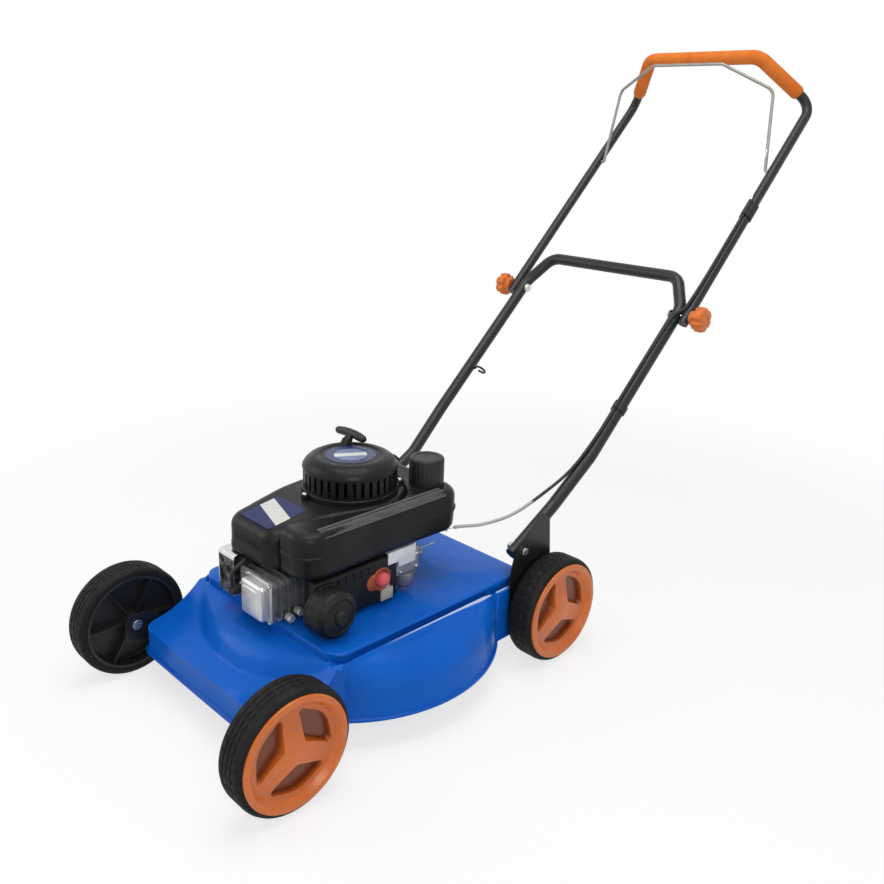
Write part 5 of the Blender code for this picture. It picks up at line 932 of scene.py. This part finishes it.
def belt(back, nose, height):
    """An even ring round the housing in plan, drawn in at its back and its nose."""
    circles = [(0.0, CRANK_Y, 0.088 - back), (0.019, NOSE_Y, NOSE_RADIUS - nose),
               (-0.05, NOSE_Y, NOSE_RADIUS - nose)]
    dense = []
    for k in range(720):
        dx, dy = cos(pi * k / 360), sin(pi * k / 360)
        x, y, radius = max(circles, key=lambda c: c[0] * dx + c[1] * dy + c[2])
        dense.append(Vector((x + radius * dx, y + radius * dy)))
    steps = [(b - a).length for a, b in zip(dense, dense[1:] + dense[:1])]
    total = sum(steps)
    ring, walked, index = [], 0.0, 0
    for k in range(HOOD_STEPS):
        while walked + steps[index] < total * k / HOOD_STEPS:
            walked += steps[index]
            index += 1
        part = (total * k / HOOD_STEPS - walked) / steps[index]
        flat = dense[index].lerp(dense[(index + 1) % len(dense)], part)
        ring.append(Vector((*flat, height(flat))))
    return ring


def nose_share(flat):
    """0 at the crank and behind it, rising to 1 at the nose."""
    return clamped((CRANK_Y - flat.y) / 0.184)


def inward(ring, share, drop=0.0):
    """A ring part of the way from the housing's edge to its round mouth."""
    result = []
    for point in ring:
        out = (point.xy - Vector((0, CRANK_Y))).normalized()
        flat = point.xy.lerp(Vector((0, CRANK_Y)) + out * MOUTH_RADIUS, share)
        result.append(Vector((*flat, hood_top(flat.y) - drop)))
    return result


hood_rings = []
edge_ring = belt(EDGE_BACK, EDGE_NOSE, lambda flat: hood_top(flat.y))
for share in (1.0, 0.8, 0.6, 0.4, 0.2, 0.08):
    hood_rings.append(inward(edge_ring, share))
for bend in quarter(8):
    back, nose = EDGE_BACK * (1 - sin(bend)), EDGE_NOSE * (1 - sin(bend))
    hood_rings.append(belt(back, nose, lambda flat, b=bend: hood_top(flat.y) - (1 - cos(b))
                           * (0.0095 + 0.007 * nose_share(flat))))
for grow, level in ((0.0, 0.264), (-0.0002, 0.248), (-0.001, 0.247), (-0.001, 0.24), (-0.0005, HOOD_BASE),
                    (0.0022, HOOD_BASE), (0.0022, 0.264)):
    hood_rings.append(belt(grow, grow, lambda flat, z=level: z))
hood_rings.append(belt(0.003, 0.006, lambda flat: hood_top(flat.y) - 0.0115 - 0.007 * nose_share(flat)))
inner_edge = belt(0.0095, 0.021, lambda flat: hood_top(flat.y) - 0.0024)
hood_rings += [inner_edge, inward(inner_edge, 1.0, 0.0024)]
gloss_plastic = Finish("gloss_moulding", "black_plastic", (0.0075, 0.0075, 0.008), specular=0.16,
                       drift=((0.016, 0.016, 0.0175), 0.6, 16.0), rough=(0.28, 0.42, 110.0),
                       grain=(2200.0, 2.0, 0.00004, 0.5))
hood = lofted([through(ring) for ring in hood_rings], HOOD_STEPS, looped=True)
fit("housing_moulding", hood, gloss_plastic, "chassis", "blower_housing", sharp=50.0)

print_white, print_blue, faded_blue = (0.62, 0.62, 0.6, 1), (0.012, 0.022, 0.09, 1), (0.02, 0.035, 0.12, 1)
label_film = Finish("label_film", "black_plastic", (0.5, 0.5, 0.5), specular=0.2)
slant = label_film.axis(1) - (AXLE_Y + 0.1455) + label_film.axis(0) * 0.3
off_stripe = label_film.between(abs(slant), 0.0125, 0.0135)
fleck = label_film.patches(300.0) * 0.25
stripe = label_film.mix(fleck, print_white, (0.5, 0.5, 0.49, 1))
ground = label_film.mix(fleck, print_blue, faded_blue)
label_film.feed("Base Color", label_film.mix(off_stripe, stripe, ground))
label_film.feed("Roughness", label_film.patches(90.0) * 0.15 + 0.28)
label = bmesh.new()
bmesh.ops.create_grid(label, x_segments=24, y_segments=24, size=0.5)
for vert in label.verts:
    x, y = vert.co.x * 0.072 - 0.015, 0.1475 + vert.co.y * 0.07
    vert.co = Vector((x, y, hood_top(y) + 0.0003))
fit("housing_label", label, label_film, "chassis")


# Recoil starter. A louvred drum with the rope reel inside, three ears screwed down on the
# housing, a slanting rope outlet, and a bar grip parked on it.
DRUM_BASE, DRUM_TOP, DRUM_RADIUS, DRUM_WALL = 0.3063, 0.363, 0.0745, 0.0022
drum_side = [(DRUM_RADIUS + out, DRUM_BASE + up) for out, up in
             ((-DRUM_WALL, 0), (0.002, 0), (0.002, 0.0055), (0.0012, 0.0066), (0, 0.0072))]
drum_shoulder = [(DRUM_RADIUS + out, DRUM_TOP - down) for out, down in
                 ((0, 0.0185), (0.0012, 0.0175), (0.0008, 0.015), (-0.0035, 0.0085), (-0.0085, 0.0042),
                  (-0.015, 0.001), (-0.019, 0))]
drum_crown = [(radius, DRUM_TOP - down) for radius, down in
              ((0.05, 0), (0.0485, 0.0006), (0.0475, 0.0016), (0, 0.0012), (0, 0.0034))]
drum_inside = [(DRUM_RADIUS + out, DRUM_TOP - down) for out, down in
               ((-0.02, 0.0032), (-0.0095, 0.0085), (-DRUM_WALL, 0.0195))]
drum = lathe(drum_side + drum_shoulder + drum_crown + drum_inside, 144, (0, CRANK_Y, 0))
slots = []
for k in range(36):
    slot = block((DRUM_RADIUS - 0.009, DRUM_RADIUS + 0.006), (-0.0026, 0.0026),
                 (DRUM_BASE + 0.01, DRUM_TOP - 0.0205), 0.0012)
    slot.transform(Matrix.Translation((0, CRANK_Y, 0)) @ Matrix.Rotation(radians(10 * k + 5), 4, "Z"))
    slots.append(slot)
drum = carved(drum, gathered(*slots))
ROPE_SLANT = radians(-38)
pull_axis = Matrix.Translation((-0.045, 0.312, 0.3625)) @ Matrix.Rotation(ROPE_SLANT, 4, "X")


def on_pull(bm):
    """Moves a shape drawn upright at the origin onto the rope's slanting outlet."""
    bm.transform(pull_axis)
    return bm


outlet = [(0, -0.012), (0.0088, -0.012), (0.0088, 0.0045), (0.0078, 0.006), (0, 0.006)]
drum = carved(drum, on_pull(lathe(outlet, 32)), "UNION")
drum = carved(drum, on_pull(lathe([(0, -0.02), (0.0032, -0.02), (0.0032, 0.012), (0, 0.012)], 24)))
ears = []
EAR_TOP = DRUM_BASE + 0.006
for degrees in (63, 160, 261):
    angle = radians(degrees)
    out = Vector((cos(angle), sin(angle), 0))
    spot = Vector((0, CRANK_Y, 0)) + out * (DRUM_RADIUS + 0.006)
    ears.append(lathe([(0, DRUM_BASE), (0.0065, DRUM_BASE), (0.0065, DRUM_BASE + 0.005),
                       (0.0055, EAR_TOP), (0, EAR_TOP)], 28, spot))
    screw(f"starter_screw_{degrees}", spot + Vector((0, 0, EAR_TOP)), (0, 0, 1), 0.0042, 0.0026,
          hexagon=False)
fit("starter_drum", gathered(drum, *ears), gloss_plastic, "chassis", "starter_housing", sharp=35.0)
disc_film = Finish("disc_film", "black_plastic", (0.5, 0.5, 0.5))
along_x, along_y = disc_film.axis(0), disc_film.axis(1) - (AXLE_Y + CRANK_Y)
ring_at = disc_film.add("Math", {"operation": "SQRT"}, {0: along_x * along_x + along_y * along_y})
off_stripe = disc_film.between(abs(along_x - along_y * 0.6), 0.0075, 0.0085)
middle = disc_film.mix(off_stripe, print_white, (0.15, 0.19, 0.33, 1))
ground = disc_film.mix(disc_film.patches(200.0) * 0.3, print_blue, faded_blue)
disc_film.feed("Base Color", disc_film.mix(disc_film.between(ring_at, 0.0255, 0.0265), middle, ground))
disc_film.feed("Roughness", disc_film.patches(120.0) * 0.15 + 0.28)
disc = lathe([(0, DRUM_TOP - 0.0013), (0.04, DRUM_TOP - 0.0014), (0.04, DRUM_TOP - 0.0011),
              (0, DRUM_TOP - 0.001)], 96, (0, CRANK_Y, 0))
slot_for_pull = on_pull(lathe([(0, -0.03), (0.009, -0.03), (0.009, 0.03), (0, 0.03)], 32))
fit("starter_disc", carved(disc, slot_for_pull), disc_film, "chassis")

stem = lathe([(0, 0.004), (0.0024, 0.004), (0.0024, 0.0063), (0.0072, 0.0063), (0.0076, 0.0072),
              (0.0062, 0.014), (0, 0.015)], 32)
bar_half = ((1.0, 0.0146, 0.0028), (0.98, 0.015, 0.0045), (0.88, 0.0157, 0.0062), (0.55, 0.017, 0.007),
            (0.2, 0.0182, 0.0068))
bar_radii = [radius for _, _, radius in bar_half]
bar = swept(mirrored([(-0.035 * share, 0, height) for share, height, _ in bar_half]),
            bar_radii + bar_radii[::-1], 32)
fit("pull_bar", on_pull(carved(bar, stem, "UNION")), black_plastic, "pull_grip", "starter_grip")
rope = Finish("starter_rope", "cable_sheath", (0.42, 0.41, 0.39), drift=((0.25, 0.24, 0.23), 0.8, 500.0),
              rough=(0.7, 0.9, 700.0))
rope_path = [pull_axis @ Vector((0, 0, -0.016 + 0.022 * k / 60)) for k in range(61)]
across_fold("starter_rope", rope_path, 0.00175, rope, rope_path[0], rope_path[-1])
carry("rope_reel", black_plastic, "starter_reel", 0.0004)
carry("flywheel", cast_alloy, "crank", 0.0004)


# Fuel tank and cap. The blow-moulded tank wraps the housing's left side and back, with a welded
# seam round its middle and a ribbed ledge along its shoulder. Its deep cap screws on a neck.
TANK_LOW, TANK_HIGH = 0.2365, 0.306
TANK_START, TANK_SWEEP, TANK_STEPS = -72, 178, 180


def tank_inner(dx, dy):
    """How far the tank's inner wall lies from the crank: the housing's side and a clearance."""
    reach = 0.0
    ax, ay = 0.047, -0.158
    bx, by = 0.09, -0.006
    slope = dx * (by - ay) - dy * (bx - ax)
    if abs(slope) > 1e-9:
        straight = (ax * (by - ay) - ay * (bx - ax)) / slope
        if ay - 0.02 <= dy * straight <= by:
            reach = straight
    for x, y, radius in ((0.0, 0.0, 0.09), (0.019, -0.158, 0.028), (-0.05, -0.158, 0.028)):
        along = x * dx + y * dy
        sideways = x * dy - y * dx
        if abs(sideways) < radius:
            reach = max(reach, along + sqrt(radius ** 2 - sideways ** 2))
    return reach


tank_rings = []
for k in range(TANK_STEPS + 1):
    angle = radians(TANK_START + TANK_SWEEP * k / TANK_STEPS)
    dx, dy = cos(angle), sin(angle)
    inner = tank_inner(dx, dy)
    outer = box_reach(dx, dy, 0.113, 0.108, 0.426, 0.034)
    section = [(inner, TANK_LOW + 0.004), (inner, TANK_HIGH - 0.004), (inner + 0.004, TANK_HIGH)]
    section += [(outer - 0.0175, TANK_HIGH), (outer - 0.016, TANK_HIGH + 0.0004)]
    for bend in quarter(7):
        section.append((outer - 0.0145 * (1 - sin(bend)), TANK_HIGH - 0.0155 * (1 - cos(bend))))
    seam = (TANK_LOW + TANK_HIGH) / 2
    section += [(outer, seam + 0.003), (outer + 0.002, seam + 0.0018), (outer + 0.002, seam - 0.0018),
                (outer, seam - 0.003), (outer - 0.001, TANK_LOW + 0.016)]
    for bend in quarter(4):
        section.append((outer - 0.0015 - 0.0095 * (1 - cos(bend)),
                        TANK_LOW + 0.01 * (1 - sin(bend))))
    section += [(inner + 0.004, TANK_LOW)]
    tank_rings.append([Vector((dx * radius, CRANK_Y + dy * radius, z)) for radius, z in section])
cap_at = (0.06, 0.393, 0)
neck = lathe([(0, 0.296), (0.024, 0.296), (0.024, 0.326), (0.0215, 0.326), (0, 0.324)], 64, cap_at)
tank = carved(lofted([through(ring) for ring in tank_rings], len(tank_rings[0]), capped=True), neck, "UNION")
fit("tank_moulding", tank, gloss_plastic, "chassis", "fuel_tank", sharp=40.0)
ledge_bars = []
for k in range(8):
    bend = radians(-12 + 9.5 * k)
    bar_x = 0.0985 + 0.0145 * sin(bend) if k > 1 else 0.0925 + 0.0028 * k
    bar_z = TANK_HIGH - (0.0155 * (1 - cos(bend)) if k > 1 else 0.0)
    ledge_bars.append(swept([Vector((bar_x, y, bar_z)) for y in (0.146, 0.388)], 0.0011, 10))
# Painted highlight: the shoulder's ribs are a lighter grey than the tank, standing in for the sheen along its
# shoulder.
rib_sheen_grey = Finish("rib_painted_highlight", "black_plastic", (0.095, 0.095, 0.095),
                      drift=((0.06, 0.06, 0.062), 0.8, 60.0), rough=(0.38, 0.55, 150.0))
fit("tank_ribs", gathered(*ledge_bars), rib_sheen_grey, "chassis")

cap = lathe([(0.0248, 0.3063), (0.0285, 0.3063), (0.0285, 0.346), (0.0278, 0.3482), (0.0262, 0.3495),
             (0.024, 0.35), (0.02, 0.35), (0.019, 0.3488), (0, 0.3485), (0, 0.3268), (0.0248, 0.3268)],
            192, cap_at)
lobed(cap, cap_at, 2, 0.027, 0.035, 24, 0.7, 0.3075, 0.349)
fit("ribbed_cap", cap, black_plastic, "tank_cap", "fuel_cap", sharp=40.0)


# Intake side. A moulded elbow carries the round filter cover and the primer bulb. Behind it stand
# the carburettor with its float bowl, the throttle linkage and a bright bracket.
dull_plastic = Finish("dull_moulding", "black_plastic", (0.005, 0.005, 0.0055), specular=0.22,
                      drift=((0.011, 0.011, 0.012), 0.7, 20.0), rough=(0.42, 0.6, 120.0),
                      grain=(2000.0, 2.0, 0.00005, 0.5))
primer_at = (0, 0.257, 0.197)
elbow = block((0.086, 0.106), (0.132, 0.2917), (0.158, 0.23), 0.0055, 4)
elbow = carved(elbow, lathe([(0, 0.095), (0.0128, 0.095), (0.0128, 0.116), (0, 0.116)], 48, primer_at, "X"))
for k in range(7):
    panel_y = (0.14 + 0.0145 * k, 0.1465 + 0.0145 * k)
    elbow = carved(elbow, block((0.1045, 0.1075), panel_y, (0.212, 0.2235), 0.0008))
fit("intake_moulding", elbow, dull_plastic, "chassis", "intake_elbow")
collar = lathe([(0.013, 0.1052), (0.0185, 0.1052), (0.0185, 0.1078), (0.017, 0.1088), (0.0138, 0.1084),
                (0.013, 0.1078)], 64, primer_at, "X")
seat = lathe([(0, 0.1055), (0.0135, 0.1055), (0.0135, 0.107), (0.012, 0.1078), (0, 0.108)], 48,
             (0, 0.242, 0.1955), "X")
red_ring = Finish("red_collar", "red_rubber", (0.33, 0.06, 0.014), drift=((0.2, 0.03, 0.01), 0.7, 60.0),
                  rough=(0.4, 0.6, 150.0))
fit("primer_collar", gathered(collar, seat), red_ring, "chassis")
cream = Finish("cream_moulding", "black_plastic", (0.48, 0.42, 0.33), drift=((0.38, 0.32, 0.24), 0.7, 80.0),
               rough=(0.42, 0.58, 200.0))
tab = gathered(block((0.105, 0.109), (0.256, 0.28), (0.159, 0.178), 0.0012),
               block((0.105, 0.1075), (0.262, 0.274), (0.176, 0.183), 0.0008))
fit("choke_tab", tab, cream, "chassis")
red_rubber = Finish("primer_rubber", "red_rubber", (0.6, 0.075, 0.085), specular=0.4,
                    drift=((0.68, 0.13, 0.14), 0.6, 80.0), rough=(0.3, 0.45, 200.0))
bulb = lathe([(0, 0.102), (0.012, 0.102), (0.012, 0.11), (0.0116, 0.1125), (0.0105, 0.115), (0.0088, 0.117),
              (0.0064, 0.1184), (0.0034, 0.1192), (0, 0.1195)], 64, primer_at, "X")
fit("primer_dome", bulb, red_rubber, "primer", "primer_bulb")
cup_at = (0, 0.147, 0.1885)
filter_cup = lathe([(0, 0.1063), (0.037, 0.1063), (0.037, 0.11), (0.0362, 0.1108), (0.0362, 0.134),
                    (0.035, 0.1375), (0.0325, 0.14), (0.029, 0.1415), (0.028, 0.1432), (0.0265, 0.1432),
                    (0.0255, 0.142), (0.014, 0.1452), (0.012, 0.146), (0.0108, 0.15), (0.009, 0.1523),
                    (0, 0.1523)], 128, cup_at, "X")
lobed(filter_cup, cup_at, 0, 0.034, 0.018, 16, low=0.1105)
fit("filter_cup", filter_cup, dull_plastic, "chassis", "air_filter_cover")

bowl_at = (0.087, 0.321, 0)
carb = gathered(block((0.068, 0.102), (0.292, 0.342), (0.184, 0.226), 0.004, 3),
                lathe([(0, 0.16), (0.01, 0.16), (0.014, 0.1612), (0.0165, 0.1645), (0.0165, 0.18),
                       (0.018, 0.1805), (0.018, 0.184), (0, 0.184)], 48, bowl_at),
                lathe([(0, 0.156), (0.0045, 0.156), (0.0045, 0.161), (0, 0.161)], 6, bowl_at),
                lathe([(0, 0.336), (0.006, 0.336), (0.006, 0.354), (0.0048, 0.355), (0, 0.355)], 24,
                      (0.09, 0, 0.206), "Y"))
fit("carburettor_casting", carb, cast_alloy, "chassis", "carburettor")
linkage = gathered(block((0.0925, 0.0945), (0.266, 0.325), (0.228, 0.2345), 0.0006),
                   block((0.1035, 0.1053), (0.294, 0.33), (0.204, 0.235), 0.0007),
                   block((0.1062, 0.1078), (0.27, 0.326), (0.215, 0.235), 0.0007),
                   block((0.0925, 0.1078), (0.27, 0.326), (0.2334, 0.235), 0.0007))
white_plate = Finish("white_plate", "bright_plate", (0.78, 0.785, 0.79), metallic=0.1,
                     drift=((0.64, 0.65, 0.66), 0.7, 60.0), rough=(0.3, 0.5, 150.0))
fit("throttle_bracket", linkage, white_plate, "chassis")
for index, (y, z) in enumerate((y, z) for z in (0.214, 0.192) for y in (0.3, 0.334)):
    screw(f"carburettor_screw_{index}", (0.102, y, z), (1, 0, 0), 0.003, 0.0026, hexagon=False)
spring_turns = [Vector((0.098 + 0.0028 * cos(0.9 * k), 0.344 + 0.0007 * k,
                        0.218 + 0.0028 * sin(0.9 * k))) for k in range(50)]
fit("governor_spring", swept(spring_turns, 0.0005, 6), zinc, "chassis", sharp=70.0)
carry("brake_lever", zinc, "engine_brake", 0.0003)


# Muffler side. The pressed muffler sits behind a slotted bright guard, and the oil filler's cap
# stands beside it on the right, away from the operator's view.
dark_steel = Finish("dark_steel", "dark_steel", (0.06, 0.056, 0.052), metallic=0.8,
                    drift=((0.11, 0.075, 0.05), 0.7, 30.0), rough=(0.45, 0.7, 160.0),
                    grain=(700.0, 4.0, 0.00012, 0.6))
bright_plate = Finish("bright_plate", "bright_plate", (0.7, 0.7, 0.69), metallic=1.0,
                      drift=((0.6, 0.59, 0.57), 0.6, 25.0), rough=(0.18, 0.34, 90.0))
carry("muffler", dark_steel, "chassis", 0.0008)
carry("muffler_guard", bright_plate, "chassis", 0.0003)
carry("oil_dipstick", black_plastic, "dipstick", 0.0006)


# Blade. A forged steel bar with upswept sails, clamped by a carrier and a bolt on the end of the
# crankshaft. The finish shows grinding marks and the dull skin of hardened steel.
bare_steel = Finish("bare_steel", "bare_steel", (0.42, 0.42, 0.415), metallic=1.0,
                    drift=((0.3, 0.295, 0.285), 0.7, 25.0), rough=(0.28, 0.5, 140.0),
                    grain=(300.0, 4.0, 0.0001, 0.5, (8.0, 1.0, 1.0)))
carry("crankshaft", bare_steel, "crank", 0.0004)
carry("blade", bare_steel, "crank", 0.0004)
carry("blade_carrier", dark_steel, "crank", 0.0005)
carry("blade_bolt", zinc, "crank", 0.0005)
